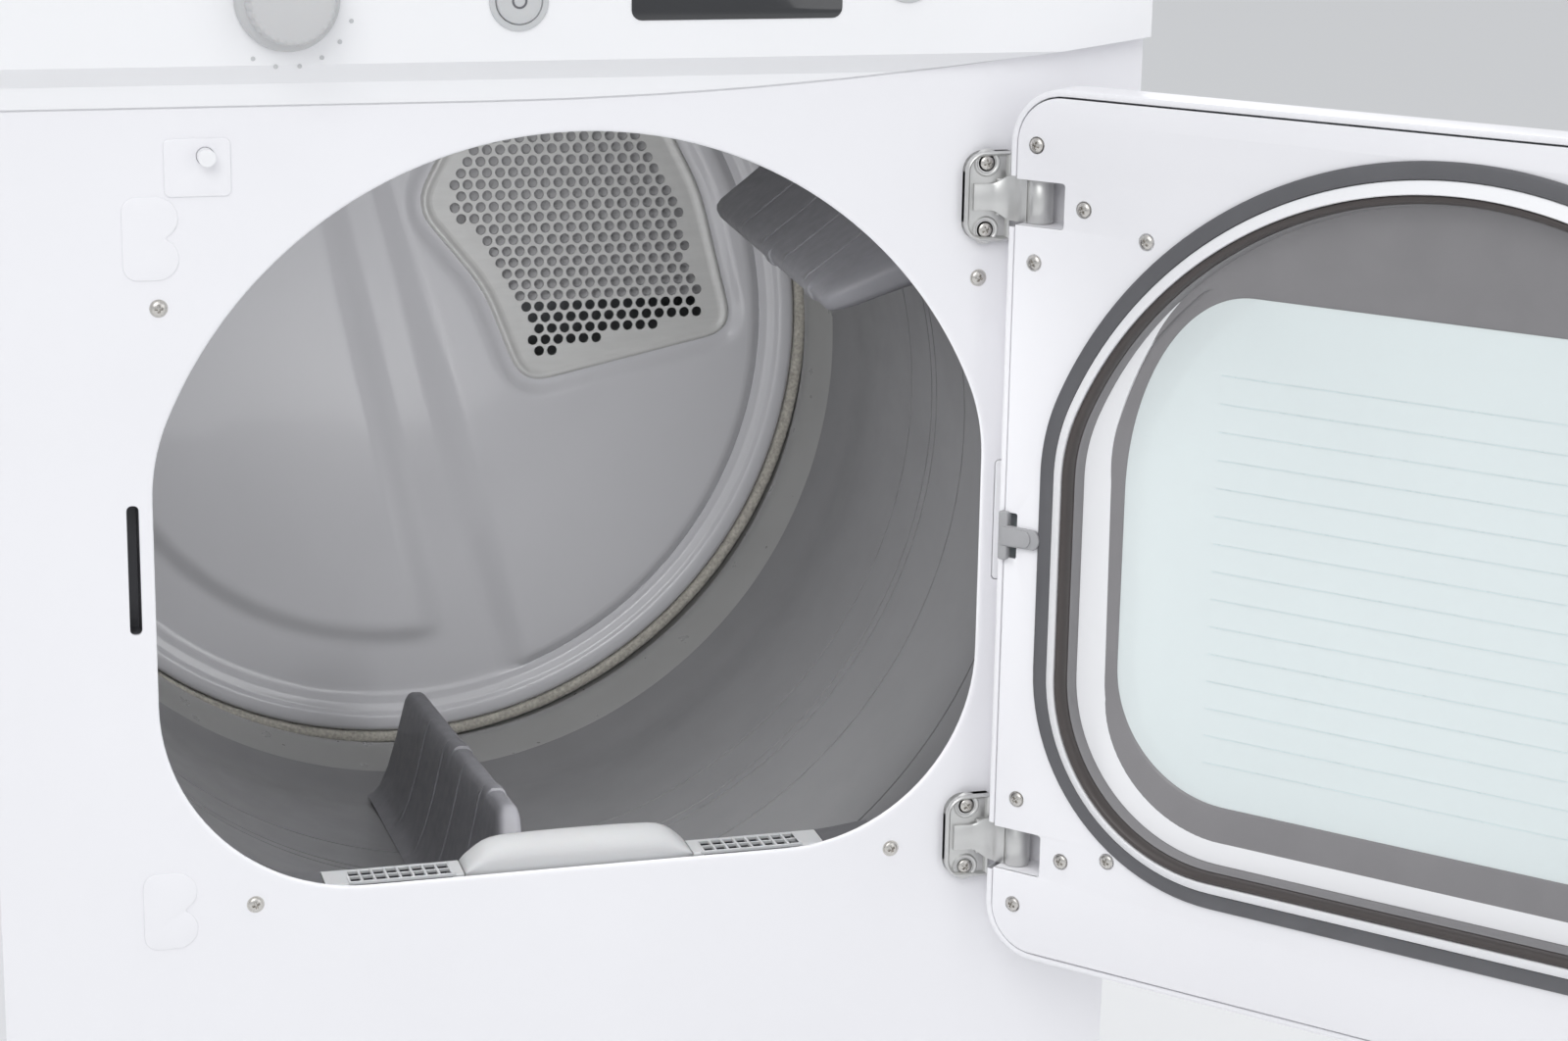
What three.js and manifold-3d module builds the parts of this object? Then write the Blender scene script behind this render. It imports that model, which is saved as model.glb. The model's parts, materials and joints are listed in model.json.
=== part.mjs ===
// A full-size front-loading vented clothes dryer with its side-hinged door swung open.
// Millimetres, +Z up, front facing -Y. Pieces are laid out from the middle of the cabinet's front
// face at floor level, and the finished group is then moved so that its origin lies under the middle
// of the whole machine.
import * as THREE from "three";
import { mergeVertices } from "three/addons/utils/BufferGeometryUtils.js";
import Module from "manifold-3d";

const wasm = await Module();
wasm.setup();

// ---------------------------------------------------------------- driving dimensions

const HALF_WIDTH = 343;
const DEPTH = 700;
const HEIGHT = 975;
const SHEET = 2; // thickness drawn for every folded sheet
const TURNED_SIDES = 40; // facets round every piece that shares the drum's axis
const GAP = 0.4; // air between pieces that touch on the real machine
const FOOT_HEIGHT = 20;

const AXIS_Z = 610; // height of the drum axis
const DRUM_RADIUS = 317; // inside of the drum wall
const DRUM_FRONT = 47;
const DRUM_REAR = 612;
const LIFTER_ANGLES = { bottom: -94, right: 26, left: 146 }; // degrees round the drum axis

// The loading opening: a wide arch above a rounded rectangle, measured from the drum axis.
const OPENING = { half: 249.5, bottom: -210, corner: 120, arch: 261, archCentre: -25 };
const OPENING_SHOULDER = 120; // radius that eases each side into the arch
const OPENING_LIP = 4; // how far the front panel's edge turns inwards

const CONSOLE_FRONT = -12;
const CONSOLE_REAR = 20;

const DOOR = {
  pivotX: 271.4,
  pivotY: -24.7,
  openAngle: 129.2, // degrees from shut, as the door stands
  innerFace: -10, // the face towards the cabinet, with the door shut
  edgeDepth: -43,
  bulge: -56,
  half: 279.5,
  bottom: -273.5,
  top: 255.5,
  corner: 28,
  rimGap: 2.5,
  rimWall: 2.5,
};
const HINGES = { upper: 192.5, lower: -209.5 }; // heights from the drum axis
const HINGE_PITCH = 40; // between the two screws of one hinge plate
const POCKET = { inner: 247, halfHeight: 13.6, depth: -36 };
const STRIKE_Z = AXIS_Z - 10; // middle of the strike and of the plug in its twin seat
const RING_TOP = -1; // how near the window's ring comes to the front panel's plane

const MOTOR = { x: 120, z: 165 };
const PULLEY_RADIUS = 12;
const BELT = { y: 360, width: 9, thickness: 2, clearance: 1.2 };
const IDLER = { radius: 22, alongStrand: 70, pivotX: 30, pivotZ: 75 };
const EXHAUST = { x: -60, z: 112, radius: 51, front: 127, rear: 730 };
const ROLLER = { radius: 35, width: 25, angle: 35, y: 532 };
const BLOWER = { radius: 105, front: 50, rear: 125 };

// ---------------------------------------------------------------- finishes

const finish = (color, roughness, metalness = 0) =>
  new THREE.MeshStandardMaterial({ color, roughness, metalness });
const WHITE_ENAMEL = finish(0xf1f1f4, 0.25);
const DRUM_GREY = finish(0x77777a, 0.4, 0.5);
const BULKHEAD_GREY = finish(0xb4b4ba, 0.25, 0.1);
const GALVANISED = finish(0xa4a8aa, 0.5, 0.8);
const STAINLESS = finish(0xc4c5c2, 0.35, 0.9);
const ZINC = finish(0xa9aaa6, 0.35, 0.9);
const DARK_PLASTIC = finish(0x5b5b60, 0.5);
const LIGHT_PLASTIC = finish(0xb9babb, 0.5);
const WHITE_PLASTIC = finish(0xe9e9ec, 0.35);
const BLACK_RUBBER = finish(0x2a2727, 0.8);
const FELT = finish(0xa8a59b, 0.95);
const GLASS = finish(0xd6e8e8, 0.05);
const STEEL = finish(0x8d8f90, 0.35, 0.9);

// ---------------------------------------------------------------- solids

// A closed solid from a geometry, with its faces turned outwards.
function solid(geometry) {
  const bare = geometry.clone();
  bare.deleteAttribute("normal");
  bare.deleteAttribute("uv");
  const merged = mergeVertices(bare, 1e-4);
  const vertProperties = merged.attributes.position.array;
  const triVerts = new Uint32Array(merged.index.array);
  const made = new wasm.Manifold(new wasm.Mesh({ numProp: 3, vertProperties, triVerts }));
  if (made.volume() > 0) return made;
  for (let i = 0; i < triVerts.length; i += 3) {
    [triVerts[i + 1], triVerts[i + 2]] = [triVerts[i + 2], triVerts[i + 1]];
  }
  return new wasm.Manifold(new wasm.Mesh({ numProp: 3, vertProperties, triVerts }));
}

function geometryOf(manifold) {
  const mesh = manifold.getMesh();
  const geometry = new THREE.BufferGeometry();
  const positions = new Float32Array(mesh.vertProperties);
  geometry.setAttribute("position", new THREE.BufferAttribute(positions, 3));
  geometry.setIndex(new THREE.BufferAttribute(new Uint32Array(mesh.triVerts), 1));
  geometry.computeVertexNormals();
  return geometry;
}

const union = (first, ...rest) => rest.reduce((sum, each) => sum.add(each), first);
const cut = (first, ...rest) => rest.reduce((left, each) => left.subtract(each), first);

function box([x0, x1], [y0, y1], [z0, z1]) {
  const geometry = new THREE.BoxGeometry(x1 - x0, y1 - y0, z1 - z0);
  geometry.translate((x0 + x1) / 2, (y0 + y1) / 2, (z0 + z1) / 2);
  return solid(geometry);
}

// A round bar along Y, centred on (x, z).
function barY(radius, [y0, y1], x, z, sides = 24) {
  const geometry = new THREE.CylinderGeometry(radius, radius, y1 - y0, sides);
  geometry.translate(x, (y0 + y1) / 2, z);
  return solid(geometry);
}

// A round bar along Z, centred on (x, y).
function barZ(radius, [z0, z1], x, y, sides = 16) {
  const geometry = new THREE.CylinderGeometry(radius, radius, z1 - z0, sides);
  geometry.rotateX(Math.PI / 2);
  geometry.translate(x, y, (z0 + z1) / 2);
  return solid(geometry);
}

// An outline drawn in X and Z, made thick from y0 to y1.
function plateXZ(shape, [y0, y1], lift = 0, segments = 3) {
  const options = { depth: y1 - y0, bevelEnabled: false, curveSegments: segments };
  const geometry = new THREE.ExtrudeGeometry(shape, options);
  geometry.rotateX(Math.PI / 2);
  geometry.translate(0, y1, lift);
  return solid(geometry);
}

// A profile of [radius, y] turned round the drum axis.
function turned(profile) {
  const points = profile.map(([radius, y]) => new THREE.Vector2(radius, y));
  if (points[0].x > 0) points.push(points[0].clone());
  const geometry = new THREE.LatheGeometry(points, TURNED_SIDES);
  geometry.translate(0, 0, AXIS_Z);
  return solid(geometry);
}

// A solid through outlines with the same number of points, given as [x, y, z].
function loft(...outlines) {
  const count = outlines[0].length;
  const last = (outlines.length - 1) * count;
  const index = [];
  for (let start = 0; start < last; start += count) {
    for (let i = 0; i < count; i++) {
      const here = start + i;
      const next = start + ((i + 1) % count);
      index.push(here, next, count + next, here, count + next, count + here);
    }
  }
  for (let i = 1; i < count - 1; i++) {
    index.push(0, i + 1, i, last, last + i, last + i + 1);
  }
  const geometry = new THREE.BufferGeometry();
  const positions = new Float32Array(outlines.flat(2));
  geometry.setAttribute("position", new THREE.BufferAttribute(positions, 3));
  geometry.setIndex(index);
  return solid(geometry);
}

// ---------------------------------------------------------------- outlines

const polygon = (points) => new THREE.Shape(points.map(([x, y]) => new THREE.Vector2(x, y)));

// The loading opening's outline, moved outwards by `grow`, or inwards where it is negative.
function openingOutline(grow = 0) {
  const half = OPENING.half + grow;
  const bottom = OPENING.bottom - grow;
  const corner = OPENING.corner + grow;
  const arch = OPENING.arch + grow;
  const shoulder = OPENING_SHOULDER + grow;
  const springing = Math.acos((half - shoulder) / (arch - shoulder));
  const shoulderZ = OPENING.archCentre + (arch - shoulder) * Math.sin(springing);
  const shape = new THREE.Shape();
  shape.moveTo(-half + corner, bottom);
  shape.lineTo(half - corner, bottom);
  shape.absarc(half - corner, bottom + corner, corner, -Math.PI / 2, 0, false);
  shape.absarc(half - shoulder, shoulderZ, shoulder, 0, springing, false);
  shape.absarc(0, OPENING.archCentre, arch, springing, Math.PI - springing, false);
  shape.absarc(shoulder - half, shoulderZ, shoulder, Math.PI - springing, Math.PI, false);
  shape.absarc(-half + corner, bottom + corner, corner, Math.PI, 1.5 * Math.PI, false);
  return shape;
}

const openingPlate = (grow, span) => plateXZ(openingOutline(grow), span, AXIS_Z, 5);
const openingRing = (outer, inner, [y0, y1]) =>
  openingPlate(outer, [y0, y1]).subtract(openingPlate(inner, [y0 - 1, y1 + 1]));

function roundedOutline([x0, x1], [z0, z1], radius) {
  const shape = new THREE.Shape();
  shape.moveTo(x0 + radius, z0);
  shape.lineTo(x1 - radius, z0);
  shape.absarc(x1 - radius, z0 + radius, radius, -Math.PI / 2, 0, false);
  shape.absarc(x1 - radius, z1 - radius, radius, 0, Math.PI / 2, false);
  shape.absarc(x0 + radius, z1 - radius, radius, Math.PI / 2, Math.PI, false);
  shape.absarc(x0 + radius, z0 + radius, radius, Math.PI, 1.5 * Math.PI, false);
  return shape;
}

// Height of the seam between the front panel and the console: level, then sweeping up to the right.
function seamHeight(x) {
  const along = Math.max(0, x + 60) / 197;
  return AXIS_Z + 254.5 + 7.4 * along * along;
}

// Points of that seam from left to right.
function seamPoints(offset) {
  const stations = [-HALF_WIDTH, -60, -10, 45, 100, 160, 220, 280, HALF_WIDTH];
  return stations.map((x) => [x, seamHeight(x) + offset]);
}

// Outline of the perforated hot-air inlet: a leaning shield right of the drum axis.
function inletOutline(grow = 0) {
  const corners = [
    [95, -38],
    [66, 38],
    [20, 92],
    [44, 160],
    [120, 196],
    [196, 160],
    [240, 84],
    [259, 2],
    [240, -9],
  ];
  const middle = [150, 75];
  const points = corners.map(([x, z]) => {
    const away = Math.hypot(x - middle[0], z - middle[1]);
    const share = 1 + grow / away;
    return [middle[0] + (x - middle[0]) * share, middle[1] + (z - middle[1]) * share];
  });
  return polygon(points);
}

// ---------------------------------------------------------------- cabinet

function basePan() {
  const floor = box([-340.6, 340.6], [4.7, 695.3], [FOOT_HEIGHT, FOOT_HEIGHT + SHEET]);
  const wallTop = 58;
  const outer = box([-340.6, 340.6], [4.7, 695.3], [FOOT_HEIGHT, wallTop]);
  const inner = box([-338.6, 338.6], [6.7, 693.3], [FOOT_HEIGHT - 1, wallTop + 1]);
  const idlerTab = box([IDLER.pivotX - 14, IDLER.pivotX + 14], [336, 339], [FOOT_HEIGHT + 1, 92]);
  const pivotHole = barY(6.4, [330, 345], IDLER.pivotX, IDLER.pivotZ, 16);
  return union(floor, outer.subtract(inner), idlerTab).subtract(pivotHole);
}

// A side sheet with front and rear flanges, notched at the top front for the console.
function sidePanel(side) {
  const seam = seamHeight(side * (HALF_WIDTH - 25)) - 1;
  const top = HEIGHT - 18 - GAP;
  const outward = [HALF_WIDTH - SHEET, HALF_WIDTH];
  const inward = [HALF_WIDTH - 25, HALF_WIDTH];
  const sheet = box(outward, [2 + GAP, 698 - GAP], [FOOT_HEIGHT, top]);
  const frontFlange = box(inward, [2 + GAP, 4.2], [FOOT_HEIGHT, seam]);
  const rearFlange = box(inward, [695.7, 698 - GAP], [FOOT_HEIGHT, top]);
  const notch = box([HALF_WIDTH - 30, HALF_WIDTH + 1], [0, CONSOLE_REAR + GAP], [seam, HEIGHT]);
  const right = cut(union(sheet, frontFlange, rearFlange), notch);
  return side > 0 ? right : right.mirror([1, 0, 0]);
}

function rearPanel() {
  const outline = polygon([
    [-HALF_WIDTH, 22],
    [HALF_WIDTH, 22],
    [HALF_WIDTH, HEIGHT - 18 - GAP],
    [-HALF_WIDTH, HEIGHT - 18 - GAP],
  ]);
  const exhaustHole = barY(EXHAUST.radius + 1.5, [690, 710], EXHAUST.x, EXHAUST.z, 32);
  const airSlots = Array.from({ length: 6 }, (_, i) =>
    box([130, 250], [690, 710], [300 + 22 * i, 308 + 22 * i]),
  );
  return cut(plateXZ(outline, [698, DEPTH]), exhaustHole, ...airSlots);
}

function topCover() {
  const span = [CONSOLE_REAR + GAP, DEPTH];
  const outer = box([-HALF_WIDTH, HALF_WIDTH], span, [HEIGHT - 18, HEIGHT]);
  const inner = box(
    [-HALF_WIDTH + SHEET, HALF_WIDTH - SHEET],
    [span[0] + SHEET, span[1] - SHEET],
    [HEIGHT - 30, HEIGHT - SHEET],
  );
  return outer.subtract(inner);
}

function frontPanel() {
  const bottom = FOOT_HEIGHT + 2;
  const corners = [[-HALF_WIDTH, bottom], [HALF_WIDTH, bottom]];
  const outline = polygon([...corners, ...seamPoints(-0.5).reverse()]);
  const sheet = plateXZ(outline, [0, SHEET]).subtract(openingPlate(0, [-1, SHEET + 1]));
  const lip = openingRing(SHEET, 0, [0, OPENING_LIP]);
  const latchSlots = [-1, 1].map((side) => {
    const middle = side * 261;
    return box([middle - 3.5, middle + 3.5], [-1, 5], [AXIS_Z - 46, AXIS_Z + 30]);
  });
  const switchHole = barY(5.4, [-1, 5], -215, AXIS_Z + 227.5, 20);
  return cut(union(sheet, lip), ...latchSlots, switchHole);
}

// ---------------------------------------------------------------- drum surroundings

// Bearing plate behind the front panel, with a round collar that the drum's front edge runs on.
function frontBulkhead() {
  const plate = plateXZ(
    roundedOutline([-316, 316], [-322, 330], 60),
    [22, 24],
    AXIS_Z,
  ).subtract(openingPlate(12, [20, 26]));
  const collar = turned([[309, 23], [311, 23], [311, 60], [309, 60]]);
  const filterGap = box([-192, 192], [21, 45.6], [AXIS_Z - 224, AXIS_Z - 190]);
  const ductGap = box([-92, 92], [21, 45.6], [260, AXIS_Z - 214]);
  const ductSide = box([90, 150], [21, 45.6], [260, 350]);
  return cut(union(plate, collar), filterGap, ductGap, ductSide);
}

// Full-height plate behind the drum with a stepped round dish that closes the drum's rear.
function rearBulkhead() {
  const plate = plateXZ(roundedOutline([-338, 338], [-340, 330], 20), [626, 628], AXIS_Z);
  const dishHole = turned([[0, 620], [312, 620], [312, 632], [0, 632]]);
  const dish = turned([
    [0, 612],
    [282, 612],
    [286, 606],
    [298, 606],
    [302, 602],
    [312.6, 602],
    [312.6, 628],
    [310.6, 628],
    [310.6, 604],
    [303, 604],
    [299, 608],
    [287, 608],
    [283, 614],
    [0, 614],
  ]);
  const inletHole = plateXZ(inletOutline(-9), [600, 640], AXIS_Z);
  return cut(union(plate.subtract(dishHole), dish), inletHole);
}

const inletGrille = () => plateXZ(inletOutline(-3), [609.8, 611.6], AXIS_Z);

const rearFelt = () => turned([[313.2, 600], [323, 600], [323, 622], [313.2, 622]]);
const frontFelt = () => turned([[311.4, 46], [315.6, 46], [315.6, 60], [311.4, 60]]);

// A perforated-look duct cover under the opening, with vents each side of the filter's slot.
function filterGrille() {
  const top = AXIS_Z - 209;
  const bar = box([-189, 189], [OPENING_LIP + GAP, 26.4], [AXIS_Z - 217, top]);
  const vents = [];
  for (const side of [-1, 1]) {
    for (let i = 0; i < 8; i++) {
      const middle = side * (82.5 + 8 * i);
      vents.push(box([middle - 2.6, middle + 2.6], [6, 23], [AXIS_Z - 230, top + 1]));
    }
  }
  return cut(bar, ...vents);
}

// The removable filter: a framed screen hanging in the duct from a raised handle.
function lintFilter() {
  const frame = box([-66, 66], [27, 37], [216, AXIS_Z - 206]);
  const windows = [-1, 1].map((side) =>
    box([side * 32 - 26, side * 32 + 26], [29, 38], [226, AXIS_Z - 222]),
  );
  const handleOutline = polygon([
    [-71, -208.6],
    [71, -208.6],
    [70, -206],
    [57, -194],
    [46, -191.4],
    [-46, -191.4],
    [-57, -194],
    [-70, -206],
  ]);
  const handle = plateXZ(handleOutline, [3, 28], AXIS_Z);
  return union(cut(frame, ...windows), handle);
}

// ---------------------------------------------------------------- drum

function drumShell() {
  const wall = DRUM_RADIUS + SHEET;
  return turned([
    [DRUM_RADIUS, DRUM_FRONT],
    [wall, DRUM_FRONT],
    [wall, 553],
    [wall + 9, 568],
    [wall + 9, 584],
    [326.4, 592],
    [326.4, DRUM_REAR],
    [324.2, DRUM_REAR],
    [324.2, 593],
    [324.6, 583],
    [wall + 6.6, 569],
    [DRUM_RADIUS, 555],
  ]);
}

// A fin that lifts the load: a broad foot, a narrow ridge and a front end that slopes back.
function drumLifter(angle) {
  const turn = THREE.MathUtils.degToRad(angle);
  const place = (radial, across, y) => [
    Math.cos(turn) * radial - Math.sin(turn) * across,
    y,
    AXIS_Z + Math.sin(turn) * radial + Math.cos(turn) * across,
  ];
  const section = (y, ridge, halfRidge, halfFoot) => {
    const foot = Math.sqrt((DRUM_RADIUS - GAP - 1) ** 2 - halfFoot ** 2);
    return [
      place(foot, -halfFoot, y),
      place(foot, halfFoot, y),
      place(ridge + 4, halfRidge, y),
      place(ridge, halfRidge - 3, y),
      place(ridge, 3 - halfRidge, y),
      place(ridge + 4, -halfRidge, y),
    ];
  };
  return loft(section(100, 270, 7, 30), section(140, 217, 7, 30), section(455, 236, 7, 30));
}

// ---------------------------------------------------------------- drive

const motorHousing = () => {
  const can = barY(75, [170, 330], MOTOR.x, MOTOR.z);
  const saddle = box([MOTOR.x - 60, MOTOR.x + 60], [195, 305], [22 + GAP, MOTOR.z - 40]);
  const bore = barY(9, [160, 340], MOTOR.x, MOTOR.z, 20);
  return cut(union(can, saddle), bore);
};

// The motor's shaft with the belt pulley turned on its rear end.
const motorShaft = () => {
  const shaft = barY(7.5, [66, 378], MOTOR.x, MOTOR.z, 20);
  const groove = [BELT.y - BELT.width / 2 - 1, BELT.y + BELT.width / 2 + 1];
  const pulley = barY(PULLEY_RADIUS, [groove[0] - 3, groove[1] + 3], MOTOR.x, MOTOR.z, 20);
  return union(shaft, pulley);
};

// The two straight runs and two arcs of a belt round the drum and the motor pulley.
function beltOutline(clearance) {
  const big = DRUM_RADIUS + SHEET + clearance;
  const small = PULLEY_RADIUS + clearance;
  const dx = MOTOR.x;
  const dz = MOTOR.z - AXIS_Z;
  const heading = Math.atan2(dz, dx);
  const spread = Math.acos((big - small) / Math.hypot(dx, dz));
  const shape = new THREE.Shape();
  shape.absarc(0, 0, big, heading + spread, heading - spread + 2 * Math.PI, false);
  shape.absarc(dx, dz, small, heading - spread, heading + spread, false);
  return shape;
}

function driveBelt() {
  const span = [BELT.y - BELT.width / 2, BELT.y + BELT.width / 2];
  const outer = plateXZ(beltOutline(BELT.clearance + BELT.thickness), span, AXIS_Z, 16);
  const inner = plateXZ(beltOutline(BELT.clearance), [span[0] - 1, span[1] + 1], AXIS_Z, 16);
  return outer.subtract(inner);
}

// Centre of the idler pulley, which presses on the outside of the belt's left-hand run.
function idlerCentre() {
  const reach = Math.hypot(MOTOR.x, MOTOR.z - AXIS_Z);
  const heading = Math.atan2(MOTOR.z - AXIS_Z, MOTOR.x);
  const lean = Math.acos((DRUM_RADIUS + SHEET - PULLEY_RADIUS) / reach);
  const out = [Math.cos(heading - lean), Math.sin(heading - lean)];
  const along = [out[1], -out[0]];
  const away = PULLEY_RADIUS + BELT.clearance + BELT.thickness + GAP + IDLER.radius;
  return [
    MOTOR.x + out[0] * away + along[0] * IDLER.alongStrand,
    MOTOR.z + out[1] * away + along[1] * IDLER.alongStrand,
  ];
}

function idlerArm() {
  const [x, z] = idlerCentre();
  const length = Math.hypot(x - IDLER.pivotX, z - IDLER.pivotZ);
  const lean = Math.atan2(x - IDLER.pivotX, z - IDLER.pivotZ);
  const bar = new THREE.BoxGeometry(18, 5, length + 18);
  bar.translate(0, 0, length / 2);
  bar.rotateY(lean);
  bar.translate(IDLER.pivotX, 343, IDLER.pivotZ);
  const pivotPin = barY(6, [332, 343], IDLER.pivotX, IDLER.pivotZ, 16);
  const axle = barY(5, [343, 369], x, z, 16);
  return union(solid(bar), pivotPin, axle);
}

function idlerPulley() {
  const [x, z] = idlerCentre();
  return barY(IDLER.radius, [352, 367], x, z).subtract(barY(5.4, [340, 380], x, z, 16));
}

const rollerPlace = (side) => {
  const reach = DRUM_RADIUS + SHEET + GAP + ROLLER.radius;
  const angle = THREE.MathUtils.degToRad(ROLLER.angle);
  return [side * reach * Math.sin(angle), AXIS_Z - reach * Math.cos(angle)];
};

function drumRoller(side) {
  const [x, z] = rollerPlace(side);
  const span = [ROLLER.y - ROLLER.width / 2, ROLLER.y + ROLLER.width / 2];
  return barY(ROLLER.radius, span, x, z, 32).subtract(barY(8.4, [500, 560], x, z, 20));
}

function rollerAxle(side) {
  const [x, z] = rollerPlace(side);
  const shaft = barY(8, [512, 626 - GAP], x, z, 20);
  const shoulder = barY(15, [560, 626 - GAP], x, z, 20);
  return union(shaft, shoulder);
}

// ---------------------------------------------------------------- air path

// Shell between the bulkhead and the rear panel that leads heated air to the inlet.
function heaterDuct() {
  const outer = box([8, 272], [628.5, 690], [480, 830]);
  const inner = box([10, 270], [627, 688], [470, 828]);
  const frontFlange = box([2, 278], [628.5, 630.5], [480, 836]);
  return cut(union(outer, frontFlange), inner);
}

// A ceramic-edged frame strung with the heating wire.
function heaterElement() {
  const frame = box([20, 260], [645, 675], [490, 560]).subtract(
    box([28, 252], [640, 680], [498, 552]),
  );
  const rungs = Array.from({ length: 7 }, (_, i) =>
    box([47 + 28 * i, 53 + 28 * i], [650, 670], [494, 556]),
  );
  return union(frame, ...rungs);
}

function lintDuct() {
  const outline = [[-88, 392.4], [-88, 200], [40, 95], [100, 84], [150, 84], [196, 130], [196, 230],
    [88, 340], [88, 392.4]];
  const hollow = [[-85.5, 400], [-85.5, 201], [41, 97.5], [100, 86.5], [149, 86.5], [193.5, 131],
    [193.5, 229], [85.5, 339], [85.5, 400]];
  const shell = plateXZ(polygon(outline), [6, 45]).subtract(plateXZ(polygon(hollow), [8, 43]));
  return shell.subtract(barY(58, [40, 50], MOTOR.x, MOTOR.z));
}

// The fan's scroll, with its outlet turning to the exhaust pipe.
function blowerHousing() {
  const scroll = (grow, span) => union(
    barY(BLOWER.radius + grow, span, MOTOR.x, MOTOR.z),
    box([EXHAUST.x - 55 - grow, MOTOR.x], span, [60 - grow, 167 + grow]),
  );
  const shell = scroll(0, [BLOWER.front, BLOWER.rear]).subtract(
    scroll(-2.5, [BLOWER.front + 2.5, BLOWER.rear - 2.5]),
  );
  const inlet = barY(60, [45, 55], MOTOR.x, MOTOR.z);
  const shaftHole = barY(12, [118, 130], MOTOR.x, MOTOR.z, 20);
  const outlet = barY(48, [118, 130], EXHAUST.x, EXHAUST.z);
  return cut(shell, inlet, shaftHole, outlet);
}

function blowerWheel() {
  const disc = barY(90, [110, 113], MOTOR.x, MOTOR.z);
  const hub = barY(16, [68, 113], MOTOR.x, MOTOR.z, 20);
  const bore = barY(7.9, [60, 120], MOTOR.x, MOTOR.z, 20);
  const blades = Array.from({ length: 9 }, (_, i) => {
    const blade = new THREE.BoxGeometry(32, 44, 2.5);
    blade.translate(72, 0, 0);
    blade.rotateY((i * 2 * Math.PI) / 9);
    blade.translate(MOTOR.x, 89, MOTOR.z);
    return solid(blade);
  });
  return cut(union(disc, hub, ...blades), bore);
}

function exhaustPipe() {
  const span = [EXHAUST.front, EXHAUST.rear];
  const outer = barY(EXHAUST.radius, span, EXHAUST.x, EXHAUST.z, 32);
  return outer.subtract(barY(EXHAUST.radius - 2, [100, 750], EXHAUST.x, EXHAUST.z, 32));
}

// ---------------------------------------------------------------- small fixed pieces

// A cast plate screwed to the front panel, with an arm that curves into the door to its knuckle.
function hingeArm(height) {
  const z = AXIS_Z + height;
  const plate = plateXZ(roundedOutline([231, 260], [-27, 27], 11), [-8.3, -0.3], z);
  const root = [256, -6];
  const rise = [DOOR.pivotX - root[0], DOOR.pivotY - root[1]];
  const arm = new THREE.BoxGeometry(Math.hypot(...rise), 5, 24);
  arm.rotateZ(Math.atan2(rise[1], rise[0]));
  arm.translate(root[0] + rise[0] / 2, root[1] + rise[1] / 2, z);
  const knuckle = barZ(8, [z - 12, z + 12], DOOR.pivotX, DOOR.pivotY);
  const bore = barZ(3.9, [z - 20, z + 20], DOOR.pivotX, DOOR.pivotY);
  return cut(union(plate, solid(arm), knuckle), bore);
}

// A spring-jaw catch behind the front panel; the jaws leave a slot for the door's strike.
function doorCatch() {
  const body = box([-272, -252], [2 + GAP, 22 - GAP], [AXIS_Z - 50, AXIS_Z + 34]);
  const slot = box([-264.5, -257.5], [0, 18], [AXIS_Z - 46, AXIS_Z + 30]);
  return body.subtract(slot);
}

const latchBlank = () => {
  const strip = box([258.2, 263.8], [-0.4, 4], [AXIS_Z - 45.3, AXIS_Z + 29.3]);
  const clip = box([254, 268], [2 + GAP, 5], [AXIS_Z - 50, AXIS_Z + 34]);
  return union(strip, clip);
};

const switchBody = () =>
  box([-226, -204], [2 + GAP, 22 - GAP], [AXIS_Z + 214, AXIS_Z + 241]).subtract(
    barY(5.4, [0, 19], -215, AXIS_Z + 227.5, 20),
  );
const switchPlunger = () => barY(4.9, [DOOR.innerFace + 0.5, 14], -215, AXIS_Z + 227.5, 20);

const drumLamp = () => {
  const lens = barY(15, [24 + GAP, 31], -150, AXIS_Z + 232, 24);
  const crown = barY(10, [30, 34], -150, AXIS_Z + 232, 24);
  return union(lens, crown);
};

const terminalCover = () => box([-285, -195], [DEPTH + GAP, 724], [800, 880]);

function levellingFoot(x, y) {
  const pad = new THREE.CylinderGeometry(17, 20, 9, 24);
  pad.rotateX(Math.PI / 2);
  pad.translate(x, y, 4.5);
  return union(solid(pad), barZ(6, [8, FOOT_HEIGHT - GAP], x, y, 16));
}

// ---------------------------------------------------------------- console

// A bar right across the machine, drawn as its section in Y and Z.
function acrossBar(section) {
  const length = 2 * HALF_WIDTH + 20;
  const options = { depth: length, bevelEnabled: false };
  const geometry = new THREE.ExtrudeGeometry(polygon(section), options);
  geometry.rotateX(Math.PI / 2);
  geometry.rotateZ(Math.PI / 2);
  geometry.translate(-length / 2, 0, 0);
  return solid(geometry);
}

const CONTROLS = { knob: [-170, 925], power: [-40, 922], start: [190, 935] };

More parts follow.
